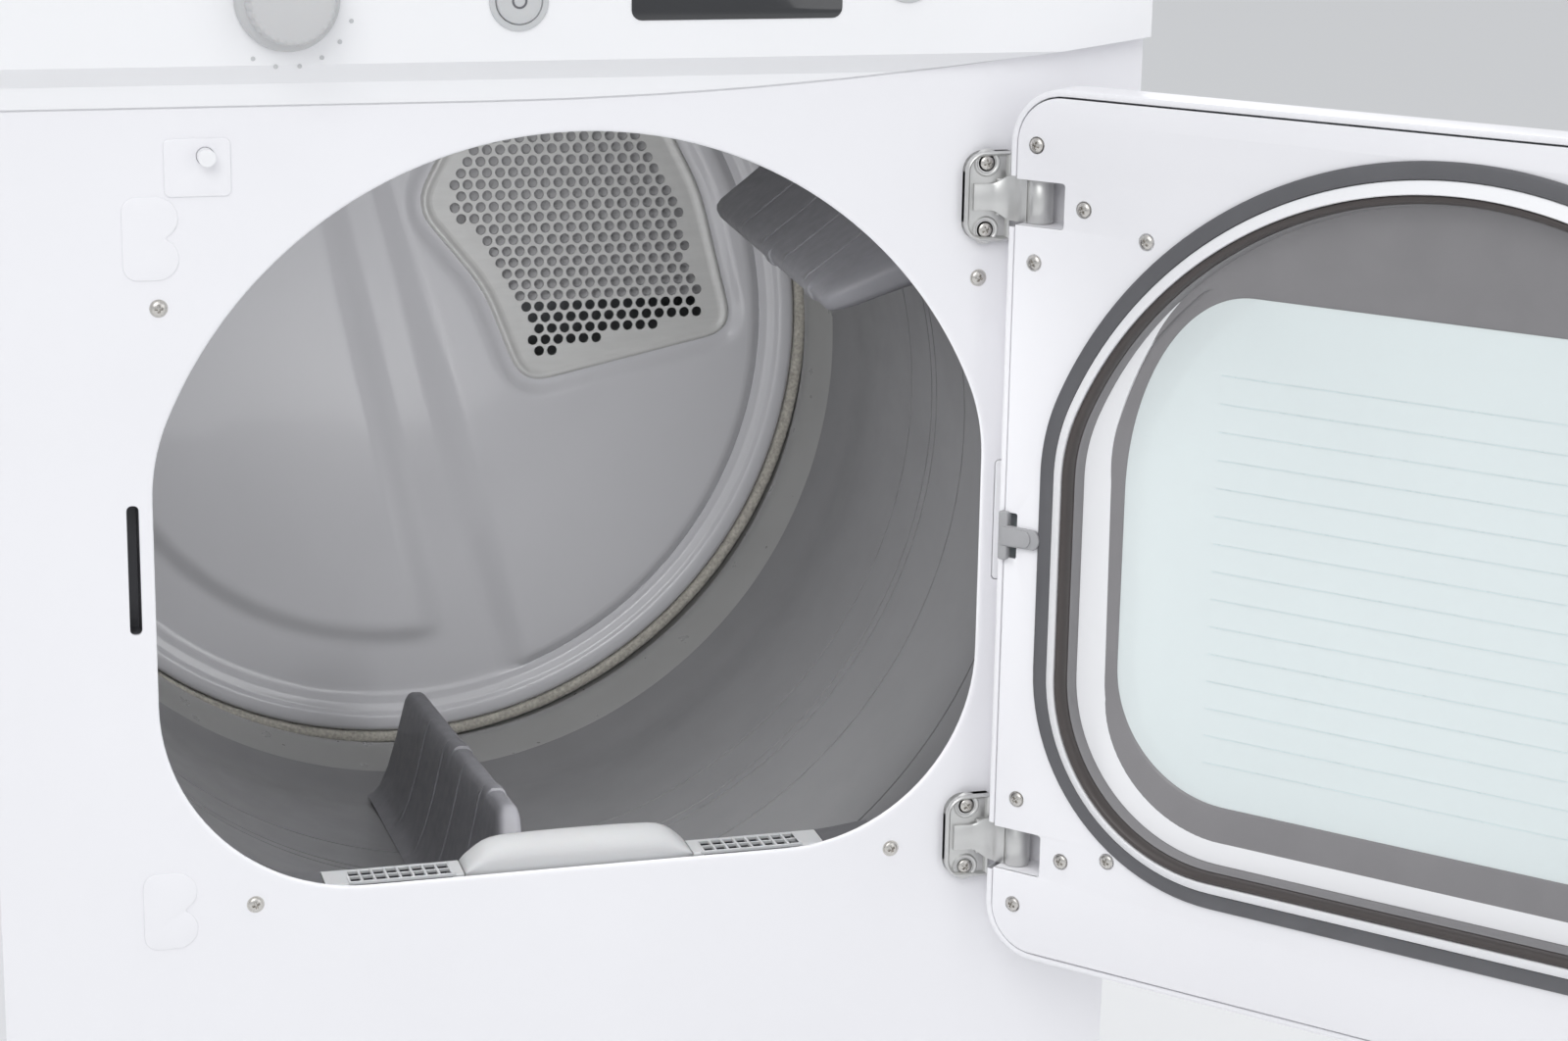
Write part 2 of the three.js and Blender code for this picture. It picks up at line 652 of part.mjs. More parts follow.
function consoleFascia() {
  const lower = seamPoints(0.7);
  const top = [[HALF_WIDTH, HEIGHT], [-HALF_WIDTH, HEIGHT]];
  const outline = plateXZ(polygon([...lower, ...top]), [CONSOLE_FRONT, CONSOLE_REAR]);
  const doorRoom = acrossBar([[-20, 850], [-1.5, 850], [-1.5, 877], [-20, 897]]);
  const outer = outline.subtract(doorRoom);
  const inset = seamPoints(3.7).map(([x, z]) => [x * (340 / HALF_WIDTH), z]);
  const hollowTop = [[340, HEIGHT - 3], [-340, HEIGHT - 3]];
  const hollowFront = acrossBar([[-9, 1000], [-9, 893], [1.5, 881], [1.5, 850], [30, 850],
    [30, 1000]]);
  const hollow = plateXZ(polygon([...inset, ...hollowTop]), [CONSOLE_FRONT + 3, 30])
    .intersect(hollowFront);
  const shaftHole = barY(5, [-20, 0], ...CONTROLS.knob, 20);
  const buttonHoles = [CONTROLS.power, CONTROLS.start].map(([x, z]) =>
    barY(13.4, [-20, 0], x, z, 20),
  );
  return cut(outer, hollow, shaftHole, ...buttonHoles);
}

function cycleKnob() {
  const [x, z] = CONTROLS.knob;
  const skirt = barY(29, [CONSOLE_FRONT - 9, CONSOLE_FRONT - GAP], x, z);
  const grip = barY(24, [CONSOLE_FRONT - 27, CONSOLE_FRONT - 8], x, z);
  const shaft = barY(4.5, [CONSOLE_FRONT - 10, 10], x, z, 20);
  return union(skirt, grip, shaft);
}

// A round key whose flange sits behind the console's face.
function consoleButton([x, z]) {
  const cap = barY(13, [CONSOLE_FRONT - 3, -4], x, z, 20);
  const flange = barY(15.5, [CONSOLE_FRONT + 3 + GAP, -6.4], x, z, 20);
  return union(cap, flange);
}

// ---------------------------------------------------------------- door, drawn shut

const doorSpanZ = (grow) => [DOOR.bottom - grow, DOOR.top + grow];
const doorOutline = (grow) =>
  roundedOutline([-DOOR.half - grow, DOOR.half + grow], doorSpanZ(grow), DOOR.corner + grow);

// A room for the hinge arm, open to the door's inner face and to its edge.
const pocketRoom = (height, spare) =>
  box(
    [POCKET.inner - spare, 300],
    [POCKET.depth - spare, 5],
    [AXIS_Z + height - POCKET.halfHeight - spare, AXIS_Z + height + POCKET.halfHeight + spare],
  );

function doorOuterShell() {
  const grow = DOOR.rimGap + DOOR.rimWall;
  const rim = plateXZ(doorOutline(grow), [DOOR.edgeDepth, DOOR.innerFace - 0.8], AXIS_Z);
  const middle = (DOOR.top + DOOR.bottom) / 2 + AXIS_Z;
  const halfX = DOOR.half + grow;
  const halfZ = (DOOR.top - DOOR.bottom) / 2 + grow;
  const rectangle = (inset, y) => [
    [-halfX + inset, y, middle - halfZ + inset],
    [halfX - inset, y, middle - halfZ + inset],
    [halfX - inset, y, middle + halfZ - inset],
    [-halfX + inset, y, middle + halfZ - inset],
  ];
  const crown = loft(rectangle(64, DOOR.bulge), rectangle(14, DOOR.edgeDepth + 1));
  const crownRoom = loft(rectangle(66, DOOR.bulge + 3), rectangle(18, DOOR.edgeDepth + 4));
  const room = plateXZ(doorOutline(DOOR.rimGap), [DOOR.edgeDepth + 3, 5], AXIS_Z);
  const pockets = Object.values(HINGES).map((height) => pocketRoom(height, 3.2));
  const window = openingPlate(-44, [-70, 5]);
  return cut(union(rim, crown), crownRoom, room, ...pockets, window);
}

function doorInnerPanel() {
  const face = plateXZ(doorOutline(0), [DOOR.innerFace - 2.5, DOOR.innerFace], AXIS_Z);
  const heights = Object.values(HINGES);
  const inside = box([-400, DOOR.half], [-70, DOOR.innerFace], [0, HEIGHT]);
  const casings = heights.map((height) => pocketRoom(height, 2.5).intersect(inside));
  const rooms = heights.map((height) => pocketRoom(height, 0));
  const pinHoles = heights.map((height) =>
    barZ(3.9, [AXIS_Z + height - 22, AXIS_Z + height + 22], DOOR.pivotX, DOOR.pivotY),
  );
  const window = openingPlate(-12, [-50, 5]);
  const edgeClips = [-1, 1].map((side) =>
    box([side * 276 - 6, side * 276 + 6], [-16, -6], [STRIKE_Z - 6, STRIKE_Z + 6]),
  );
  return cut(union(face, ...casings), ...rooms, ...pinHoles, window, ...edgeClips);
}

const doorSeal = () => openingRing(5, -4, [DOOR.innerFace + GAP, -6.6]);
const windowRing = () => openingRing(-4.4, -11.6, [DOOR.innerFace + GAP, RING_TOP]);
const windowGasket = () => openingRing(-12.4, -16.6, [-15, RING_TOP - 1]);

// Outline of the pane seen through the door: the opening's shape, much smaller, cut flat on top.
function paneCut(grow, span) {
  const belowFlat = box([-400, 400], span, [0, AXIS_Z + 152 + grow]);
  return openingPlate(-51 + grow, span).intersect(belowFlat);
}

const windowBezel = () => openingPlate(-17, [-19, -8]).subtract(paneCut(0, [-30, 2]));
const windowGlass = () => openingPlate(-24, [-24.4, -19.4]);
const outerWindow = () => openingPlate(-44.6, [-54, -50]);

// A T-shaped plug that fills the unused strike seat at the hinge side.
const strikeBlank = () => {
  const tongue = box([257, 279], [-9.6, -7], [STRIKE_Z - 6.5, STRIKE_Z + 6.5]);
  const bar = box([270.4, 281.6], [-14, -7], [STRIKE_Z - 5.5, STRIKE_Z + 5.5]);
  return union(tongue, bar);
};

// The hook on the door's free edge that enters the catch.
const doorStrike = () => {
  const foot = box([-279, -255], [-9.6, -7], [STRIKE_Z - 10, STRIKE_Z + 10]);
  const blade = box([-262.5, -259.5], [-8, 14], [STRIKE_Z - 8, STRIKE_Z + 8]);
  const key = box([-281.6, -270.4], [-14, -7], [STRIKE_Z - 5.5, STRIKE_Z + 5.5]);
  return union(foot, blade, key);
};

const hingePin = (height) =>
  barZ(3.5, [AXIS_Z + height - 19, AXIS_Z + height + 19], DOOR.pivotX, DOOR.pivotY);

// ---------------------------------------------------------------- assembly

const dryer = new THREE.Group();

function add(name, manifold, material, parent = dryer) {
  const mesh = new THREE.Mesh(geometryOf(manifold), material);
  mesh.name = name;
  parent.add(mesh);
}

add("base_pan", basePan(), GALVANISED);
add("left_side_panel", sidePanel(-1), WHITE_ENAMEL);
add("right_side_panel", sidePanel(1), WHITE_ENAMEL);
add("rear_panel", rearPanel(), GALVANISED);
add("top_cover", topCover(), WHITE_ENAMEL);
add("front_panel", frontPanel(), WHITE_ENAMEL);
add("front_bulkhead", frontBulkhead(), BULKHEAD_GREY);
add("filter_grille", filterGrille(), LIGHT_PLASTIC);
add("rear_bulkhead", rearBulkhead(), BULKHEAD_GREY);
add("inlet_grille", inletGrille(), STAINLESS);
add("rear_felt_seal", rearFelt(), FELT);
add("front_felt_seal", frontFelt(), FELT);
add("heater_duct", heaterDuct(), GALVANISED);
add("heater_element", heaterElement(), STEEL);
add("blower_housing", blowerHousing(), DARK_PLASTIC);
add("lint_duct", lintDuct(), LIGHT_PLASTIC);
add("exhaust_pipe", exhaustPipe(), GALVANISED);
add("motor_housing", motorHousing(), STEEL);
add("drive_belt", driveBelt(), BLACK_RUBBER);
add("upper_hinge_arm", hingeArm(HINGES.upper), ZINC);
add("lower_hinge_arm", hingeArm(HINGES.lower), ZINC);
add("door_catch", doorCatch(), DARK_PLASTIC);
add("latch_blank", latchBlank(), WHITE_PLASTIC);
add("door_switch_body", switchBody(), DARK_PLASTIC);
add("door_switch_plunger", switchPlunger(), WHITE_PLASTIC);
add("drum_lamp", drumLamp(), GLASS);
add("terminal_cover", terminalCover(), GALVANISED);
for (const [side, x] of [["left", -300], ["right", 300]]) {
  add(`levelling_foot_front_${side}`, levellingFoot(x, 45), BLACK_RUBBER);
  add(`levelling_foot_rear_${side}`, levellingFoot(x, 655), BLACK_RUBBER);
}

add("drum_shell", drumShell(), DRUM_GREY);
for (const [place, angle] of Object.entries(LIFTER_ANGLES)) {
  add(`drum_lifter_${place}`, drumLifter(angle), DARK_PLASTIC);
}
for (const [name, side] of [["left", -1], ["right", 1]]) {
  add(`roller_axle_${name}`, rollerAxle(side), STEEL);
  add(`drum_roller_${name}`, drumRoller(side), BLACK_RUBBER);
}
add("motor_shaft", motorShaft(), STEEL);
add("blower_wheel", blowerWheel(), DARK_PLASTIC);
add("idler_arm", idlerArm(), ZINC);
add("idler_pulley", idlerPulley(), DARK_PLASTIC);
add("lint_filter", lintFilter(), LIGHT_PLASTIC);

add("console_fascia", consoleFascia(), WHITE_PLASTIC);
add("cycle_knob", cycleKnob(), LIGHT_PLASTIC);
add("power_button", consoleButton(CONTROLS.power), LIGHT_PLASTIC);
add("start_button", consoleButton(CONTROLS.start), LIGHT_PLASTIC);

const doorSwing = new THREE.Group();
doorSwing.position.set(DOOR.pivotX, DOOR.pivotY, 0);
doorSwing.rotation.z = THREE.MathUtils.degToRad(DOOR.openAngle);
dryer.add(doorSwing);
const door = new THREE.Group();
door.position.set(-DOOR.pivotX, -DOOR.pivotY, 0);
doorSwing.add(door);

add("door_outer_shell", doorOuterShell(), WHITE_ENAMEL, door);
add("door_inner_panel", doorInnerPanel(), WHITE_ENAMEL, door);
add("door_seal", doorSeal(), DARK_PLASTIC, door);
add("window_ring", windowRing(), WHITE_PLASTIC, door);
add("window_gasket", windowGasket(), BLACK_RUBBER, door);
add("window_bezel", windowBezel(), DARK_PLASTIC, door);
add("window_glass", windowGlass(), GLASS, door);
add("outer_window", outerWindow(), GLASS, door);
add("strike_blank", strikeBlank(), LIGHT_PLASTIC, door);
add("door_strike", doorStrike(), LIGHT_PLASTIC, door);
add("upper_hinge_pin", hingePin(HINGES.upper), STEEL, door);
add("lower_hinge_pin", hingePin(HINGES.lower), STEEL, door);

// Stand the machine on its origin.
dryer.updateMatrixWorld(true);
const bounds = new THREE.Box3().setFromObject(dryer, true);
const centre = bounds.getCenter(new THREE.Vector3());
dryer.position.set(-centre.x, -centre.y, -bounds.min.z);

export default dryer;
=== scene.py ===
"""Looks of a full-size front-loading clothes dryer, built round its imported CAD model.

Pieces are drawn in millimetres in the machine's own coordinates: X from the middle of the cabinet
to the right, Y from the front face to the rear, Z up from the drum's axis. Pieces of the door are
drawn with the door shut. make() turns both into the row frame's metres.
"""
import json
import math
import random

import bmesh
import bpy
from mathutils import Matrix, Vector, noise


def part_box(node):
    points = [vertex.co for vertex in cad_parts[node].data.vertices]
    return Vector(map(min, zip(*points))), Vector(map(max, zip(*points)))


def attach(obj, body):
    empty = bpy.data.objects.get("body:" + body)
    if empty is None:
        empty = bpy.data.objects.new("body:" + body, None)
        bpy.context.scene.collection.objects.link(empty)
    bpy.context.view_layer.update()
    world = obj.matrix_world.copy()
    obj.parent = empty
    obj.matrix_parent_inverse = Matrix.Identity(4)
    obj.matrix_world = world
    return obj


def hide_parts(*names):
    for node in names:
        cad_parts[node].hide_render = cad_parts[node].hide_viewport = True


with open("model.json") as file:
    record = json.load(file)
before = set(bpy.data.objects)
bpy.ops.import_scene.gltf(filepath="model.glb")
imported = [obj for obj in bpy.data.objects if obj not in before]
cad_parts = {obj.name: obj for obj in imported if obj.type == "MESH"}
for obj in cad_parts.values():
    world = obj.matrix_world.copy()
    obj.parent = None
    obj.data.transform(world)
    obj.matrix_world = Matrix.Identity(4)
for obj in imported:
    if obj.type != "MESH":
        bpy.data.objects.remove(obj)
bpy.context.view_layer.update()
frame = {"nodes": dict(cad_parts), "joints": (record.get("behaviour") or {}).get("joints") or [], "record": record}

# ------------------------------------------------------------ places taken from the frame

MM = 0.001
panel_low, panel_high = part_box("front_panel")
drum_low, drum_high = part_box("drum_shell")
ORIGIN = Vector(((panel_low.x + panel_high.x) / 2, panel_low.y, (drum_low.z + drum_high.z) / 2))
MACHINE = Matrix.Translation(ORIGIN) @ Matrix.Diagonal((MM, MM, MM, 1))
joints = {joint["name"]: joint for joint in frame["joints"]}
swing = joints["door_swing"]
PIVOT = Vector(swing["pos_m"])
OPEN_ANGLE = -math.radians(swing["range_deg"][0])
DOOR = (
    Matrix.Translation(PIVOT)
    @ Matrix.Rotation(OPEN_ANGLE, 4, "Z")
    @ Matrix.Translation(-PIVOT)
    @ MACHINE
)
PIVOT_MM = MACHINE.inverted() @ PIVOT


def box_mm(node):
    """A CAD node's lowest and highest corners in the machine's millimetres."""
    low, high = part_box(node)
    back = MACHINE.inverted()
    return back @ low, back @ high


HALF_WIDTH = box_mm("front_panel")[1].x
PANEL_BOTTOM = box_mm("front_panel")[0].z
CONSOLE_FRONT = box_mm("console_fascia")[0].y
DRUM_FRONT = box_mm("drum_shell")[0].y
DRUM_REAR = box_mm("drum_shell")[1].y
REAR_FACE = box_mm("rear_panel")[1].y
HINGES = [(box_mm(n)[0].z + box_mm(n)[1].z) / 2 for n in ("upper_hinge_arm", "lower_hinge_arm")]

# ------------------------------------------------------------ camera, floor and light

IMAGE_WIDTH = 1600
FOCAL_PIXELS = 3400
YAW, PITCH, ROLL = math.radians(-16.99), math.radians(14.42), math.radians(1.0)
EYE = Vector((-441.65, -1851.42, 497.11))  # the camera, in machine millimetres


def add_camera():
    turn = Matrix.Rotation(ROLL, 3, "Z") @ Matrix.Rotation(PITCH, 3, "X")
    level = Matrix(((1, 0, 0), (0, 0, -1), (0, 1, 0)))
    heading = Matrix(
        ((math.cos(YAW), math.sin(YAW), 0), (-math.sin(YAW), math.cos(YAW), 0), (0, 0, 1))
    )
    right, down, forward = turn @ level @ heading
    data = bpy.data.cameras.new("camera")
    data.sensor_width = 36
    data.lens = FOCAL_PIXELS / IMAGE_WIDTH * data.sensor_width
    camera = bpy.data.objects.new("camera", data)
    axes = Matrix((right, -down, -forward)).transposed().to_4x4()
    camera.matrix_world = Matrix.Translation(MACHINE @ EYE) @ axes
    bpy.context.scene.collection.objects.link(camera)
    bpy.context.scene.camera = camera


def add_light(name, place, target, size, watts, mirrored=True):
    data = bpy.data.lights.new(name, "AREA")
    data.shape = "DISK"
    data.size = size
    data.energy = watts
    lamp = bpy.data.objects.new(name, data)
    lamp.location = place
    aim = Vector(target) - Vector(place)
    lamp.rotation_mode = "QUATERNION"
    lamp.rotation_quaternion = aim.to_track_quat("-Z", "Y")
    lamp.visible_glossy = mirrored
    bpy.context.scene.collection.objects.link(lamp)


def add_studio():
    scene = bpy.context.scene
    scene.view_settings.view_transform = "Standard"
    world = bpy.data.worlds.new("studio")
    scene.world = world
    world.use_nodes = True
    background = world.node_tree.nodes["Background"]
    background.inputs["Color"].default_value = (0.95, 0.97, 1.0, 1.0)
    background.inputs["Strength"].default_value = 0.68
    for name, place, watts in (
        ("key", (-1.4, -2.6, 2.6), 34),
        ("fill", (1.9, -3.0, 1.5), 12),
        ("rim", (0.8, 3.0, 2.6), 30),
        ("top", (0.0, -0.3, 3.4), 14),
    ):
        add_light(name, place, ORIGIN, 2.4, watts)
    # two unmirrored lamps reach the inside of the drum
    for name, place, target, size, watts in (
        ("drum_front", (-60, 45, 205), (20, 300, 0), 0.22, 1.6),
        ("drum_low", (60, 60, -150), (20, 500, -60), 0.16, 0.8),
    ):
        add_light(name, MACHINE @ Vector(place), MACHINE @ Vector(target), size, watts,
                  mirrored=False)
    mesh = bpy.data.meshes.new("studio_floor")
    reach = 30
    mesh.from_pydata(
        [(-reach, -reach, 0), (reach, -reach, 0), (reach, reach, 0), (-reach, reach, 0)],
        [],
        [(0, 1, 2, 3)],
    )
    floor = bpy.data.objects.new("studio_floor", mesh)
    mesh.materials.append(surface("studio_white", (0.9, 0.9, 0.9), 0.6, mottling=0.0, grain=0.0))
    scene.collection.objects.link(floor)


# ------------------------------------------------------------ materials


def surface(
    name,
    colour,
    roughness,
    metallic=0.0,
    mottling=0.04,
    patch=20.0,
    grain=0.05,
    grain_size=900.0,
    spread=0.05,
    stretch=(1, 1, 1),
    cells=0.0,
    speckle=0.0,
    **sockets,
):
    """A finish whose colour, roughness and relief all vary a little.

    mottling is how far the colour strays, in patches of 1/patch m; grain is the strength of the
    relief, in bumps of 1/grain_size m; stretch draws both out along an axis; cells gives the
    crystal pattern of galvanising, and speckle fine light and dark specks.
    """
    made = bpy.data.materials.new(name)
    made.use_nodes = True
    tree = made.node_tree
    shader = tree.nodes["Principled BSDF"]
    shader.inputs["Metallic"].default_value = metallic
    for socket, value in sockets.items():
        shader.inputs[socket.replace("_", " ")].default_value = value
    place = tree.nodes.new("ShaderNodeTexCoord")
    mapping = tree.nodes.new("ShaderNodeMapping")
    mapping.inputs["Scale"].default_value = stretch
    tree.links.new(place.outputs["Object"], mapping.inputs["Vector"])

    def noise_node(scale, detail):
        node = tree.nodes.new("ShaderNodeTexNoise")
        node.inputs["Scale"].default_value = scale
        node.inputs["Detail"].default_value = detail
        tree.links.new(mapping.outputs["Vector"], node.inputs["Vector"])
        return node.outputs["Fac"]

    def ranged(value, low, high):
        node = tree.nodes.new("ShaderNodeMapRange")
        node.inputs["From Min"].default_value = 0.3
        node.inputs["From Max"].default_value = 0.7
        node.inputs["To Min"].default_value = low
        node.inputs["To Max"].default_value = high
        tree.links.new(value, node.inputs["Value"])
        return node.outputs["Result"]

    patches = noise_node(patch, 4)
    if cells:
        crystal = tree.nodes.new("ShaderNodeTexVoronoi")
        crystal.inputs["Scale"].default_value = cells
        tree.links.new(mapping.outputs["Vector"], crystal.inputs["Vector"])
        parts = tree.nodes.new("ShaderNodeSeparateColor")
        tree.links.new(crystal.outputs["Color"], parts.inputs["Color"])
        patches = parts.outputs["Red"]
    if speckle:
        blend = tree.nodes.new("ShaderNodeMath")
        blend.operation = "MULTIPLY_ADD"
        blend.inputs[1].default_value = speckle
        tree.links.new(noise_node(grain_size, 2), blend.inputs[0])
        tree.links.new(patches, blend.inputs[2])
        patches = blend.outputs["Value"]
    ramp = tree.nodes.new("ShaderNodeValToRGB")
    dark = [channel * (1 - mottling) for channel in colour]
    light = [min(1.0, channel * (1 + mottling)) for channel in colour]
    ramp.color_ramp.elements[0].position = 0.3
    ramp.color_ramp.elements[0].color = (*dark, 1)
    ramp.color_ramp.elements[1].position = 0.7
    ramp.color_ramp.elements[1].color = (*light, 1)
    tree.links.new(patches, ramp.inputs["Fac"])
    tree.links.new(ramp.outputs["Color"], shader.inputs["Base Color"])
    rough = ranged(noise_node(patch * 3.7, 3), max(0.02, roughness - spread), roughness + spread)
    tree.links.new(rough, shader.inputs["Roughness"])
    if grain:
        bump = tree.nodes.new("ShaderNodeBump")
        bump.inputs["Strength"].default_value = grain
        bump.inputs["Distance"].default_value = 0.0004
        tree.links.new(noise_node(grain_size, 3), bump.inputs["Height"])
        tree.links.new(bump.outputs["Normal"], shader.inputs["Normal"])
    return made


FINISHES = {
    "white_enamel": surface("white_enamel", (0.855, 0.85, 0.875), 0.36, mottling=0.012, patch=5,
                            grain=0.04, grain_size=260, spread=0.03, Coat_Weight=0.12),
    "drum_grey": surface("drum_grey", (0.185, 0.185, 0.19), 0.36, metallic=0.25, mottling=0.05,
                         patch=9, grain=0.1, grain_size=1400, speckle=0.35, spread=0.04),
    "bulkhead_grey": surface("bulkhead_grey", (0.47, 0.47, 0.492), 0.2, mottling=0.02, patch=6,
                             grain=0.03, grain_size=300, spread=0.03, Coat_Weight=0.8,
                             Coat_Roughness=0.06),
    "galvanised": surface("galvanised", (0.48, 0.5, 0.52), 0.42, metallic=0.85, mottling=0.05,
                          cells=130, grain=0.05, grain_size=700, spread=0.08),
    "stainless_steel": surface("stainless_steel", (0.66, 0.66, 0.65), 0.42, metallic=0.45,
                               mottling=0.03, patch=40, grain=0.08, grain_size=900, spread=0.03,
                               stretch=(1, 1, 5)),
    "zinc_plated": surface("zinc_plated", (0.64, 0.64, 0.63), 0.34, metallic=0.8, mottling=0.03,
                           patch=24, grain=0.07, grain_size=700, spread=0.02, stretch=(1, 1, 4)),
    "dark_plastic": surface("dark_plastic", (0.125, 0.125, 0.136), 0.42, mottling=0.05, patch=30,
                            grain=0.22, grain_size=1500, spread=0.05),
    "light_plastic": surface("light_plastic", (0.56, 0.562, 0.568), 0.45, mottling=0.02, patch=14,
                             grain=0.2, grain_size=1100, spread=0.03, Subsurface_Weight=0.03),
    "white_plastic": surface("white_plastic", (0.86, 0.86, 0.875), 0.36, mottling=0.008, patch=6,
                             grain=0.06, grain_size=900, spread=0.02),
    "black_rubber": surface("black_rubber", (0.03, 0.027, 0.027), 0.5, mottling=0.12, patch=70,
                            grain=0.3, grain_size=1600, spread=0.08),
    "felt": surface("felt", (0.36, 0.345, 0.31), 0.95, mottling=0.3, patch=420, grain=0.9,
                    grain_size=1500, spread=0.03, Sheen_Weight=0.5),
    "clear_glass": surface("clear_glass", (0.8, 0.93, 0.93), 0.05, mottling=0.01, patch=8,
                           grain=0.0, spread=0.02, Transmission_Weight=0.96, IOR=1.15),
    "steel": surface("steel", (0.36, 0.37, 0.375), 0.36, metallic=0.9, mottling=0.1, patch=90,
                     grain=0.15, grain_size=500, spread=0.07),
}
SCREW_STEEL = surface("screw_steel", (0.62, 0.6, 0.57), 0.24, metallic=1.0, mottling=0.1,
                      patch=400, grain=0.12, grain_size=2500, spread=0.08)
DISPLAY_BLACK = surface("display_black", (0.012, 0.013, 0.016), 0.1, mottling=0.1, patch=30,
                        grain=0.0, spread=0.03, Coat_Weight=1.0)
BEZEL_GREY = surface("bezel_grey", (0.235, 0.228, 0.235), 0.33, mottling=0.04, patch=25,
                     grain=0.15, grain_size=1300, spread=0.05)
GASKET_BROWN = surface("gasket_rubber", (0.06, 0.05, 0.048), 0.34, mottling=0.04, patch=12,
                       grain=0.08, grain_size=1500, spread=0.02)
SEAL_GREY = surface("seal_grey", (0.112, 0.112, 0.12), 0.5, mottling=0.05, patch=30, grain=0.2,
                    grain_size=1500)
# the drum's rear band is the same steel as the wall, coloured lighter as a painted highlight
BAND_PAINTED_HIGHLIGHT = surface("rolled_band_painted_highlight", (0.3, 0.3, 0.295), 0.3, metallic=0.3, mottling=0.04,
                    patch=14, grain=0.12, grain_size=1500, spread=0.03)
# the cover's ends are the same light plastic as the vents, coloured dark as painted shade
CAP_PAINTED_SHADE = surface("cover_end_painted_shade", (0.13, 0.13, 0.137), 0.42, mottling=0.04, patch=40, grain=0.2,
                   grain_size=1300)
PLUG_GREY = surface("plug_grey", (0.36, 0.36, 0.37), 0.4, mottling=0.04, patch=60, grain=0.2,
                    grain_size=1400)
PANE_TINT = surface("pane_tint", (0.9, 0.965, 0.965), 0.08, mottling=0.012, patch=5, grain=0.0,
                    spread=0.02, Transmission_Weight=0.2, IOR=1.3)
LINE_TINT = surface("line_tint", (0.66, 0.75, 0.76), 0.3, mottling=0.05, patch=40, grain=0.05)
LAMP_WHITE = surface("indicator_white", (0.75, 0.8, 0.85), 0.4, mottling=0.03, patch=90,
                     grain=0.1, grain_size=2000)

# ------------------------------------------------------------ making pieces


def place_of(body):
    """The matrix that takes a piece of this body from its drawing to the row frame."""
    return DOOR if body == "door" else MACHINE


def make(name, bm, finish, body="cabinet", stands_for=(), angle=35, look=None):
    """Turns a bmesh drawn in millimetres into a finished piece that rides on a CAD body. finish
    picks its material from FINISHES, and look, when given, is a material that differs from the slot's usual one
    and is used in its place."""
    bmesh.ops.remove_doubles(bm, verts=bm.verts, dist=1e-3)
    bmesh.ops.recalc_face_normals(bm, faces=bm.faces)
    bm.transform(place_of(body))
    mesh = bpy.data.meshes.new(name)
    bm.to_mesh(mesh)
    bm.free()
    mesh.shade_smooth()
    mesh.set_sharp_from_angle(angle=math.radians(angle))
    piece = bpy.data.objects.new(name, mesh)
    bpy.context.scene.collection.objects.link(piece)
    mesh.materials.append(look or FINISHES[finish])
    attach(piece, body)
    if stands_for:
        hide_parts(*stands_for)
    return piece


def soften(piece, width):
    """Rounds a piece's edges by width millimetres."""
    modifier = piece.modifiers.new("soft_edges", "BEVEL")
    modifier.width = width * MM
    modifier.segments = 3
    modifier.limit_method = "ANGLE"
    modifier.angle_limit = math.radians(40)
    modifier.harden_normals = False


def loft(rows, close=False, caps=False):
    """A skin over rings of points. close joins the last ring to the first; caps covers the first
    and last rings."""
    bm = bmesh.new()
    grid = [[bm.verts.new(point) for point in row] for row in rows]
    count = len(rows[0])
    pairs = list(zip(grid, grid[1:]))
    if close:
        pairs.append((grid[-1], grid[0]))
    for row, following in pairs:
        for i in range(count):
            j = (i + 1) % count
            bm.faces.new((row[i], row[j], following[j], following[i]))
    if caps:
        bm.faces.new(grid[0])
        bm.faces.new(reversed(grid[-1]))
    return bm


def arc(cx, cz, radius, start, end, steps):
    """Points along an arc, both ends included."""
    return [
        (
            cx + radius * math.cos(start + (end - start) * i / steps),
            cz + radius * math.sin(start + (end - start) * i / steps),
        )
        for i in range(steps + 1)
    ]


def opening(grow=0.0):
    """The loading opening's outline, moved outwards by grow: an arch above a rounded rectangle."""
    half, corner, arch, shoulder = 249.5 + grow, 120 + grow, 261 + grow, 120 + grow
    floor, centre = -210 - grow, -25
    springing = math.acos((half - shoulder) / (arch - shoulder))
    shoulder_z = centre + (arch - shoulder) * math.sin(springing)
    quarter = math.pi / 2
    return (
        arc(half - corner, floor + corner, corner, -quarter, 0, 24)
        + arc(half - shoulder, shoulder_z, shoulder, 0, springing, 10)
        + arc(0, centre, arch, springing, math.pi - springing, 72)[1:-1]
        + arc(shoulder - half, shoulder_z, shoulder, math.pi - springing, math.pi, 10)
        + arc(corner - half, floor + corner, corner, math.pi, 3 * quarter, 24)
    )


def rounded(x0, x1, z0, z1, radius, steps=10):
    """A rectangle's outline with round corners."""
    quarter = math.pi / 2
    return (
        arc(x1 - radius, z0 + radius, radius, -quarter, 0, steps)
        + arc(x1 - radius, z1 - radius, radius, 0, quarter, steps)
        + arc(x0 + radius, z1 - radius, radius, quarter, 2 * quarter, steps)
        + arc(x0 + radius, z0 + radius, radius, 2 * quarter, 3 * quarter, steps)
    )


def circle(cx, cz, radius, steps=24):
    return arc(cx, cz, radius, 0, 2 * math.pi * (1 - 1 / steps), steps - 1)


def at_depth(outline, y):
    """An outline's points as places in the plane at y."""
    return [(x, y, z) for x, z in outline]


def opening_ring(profile):
    """A ring that follows the opening's outline; profile lists (grow, y)."""
    return loft([at_depth(opening(grow), y) for grow, y in profile], close=True)


def lathe(profile, steps):
    """A closed profile of (radius, y) turned round the drum's axis."""
    return loft([at_depth(circle(0, 0, radius, steps), y) for radius, y in profile], close=True)


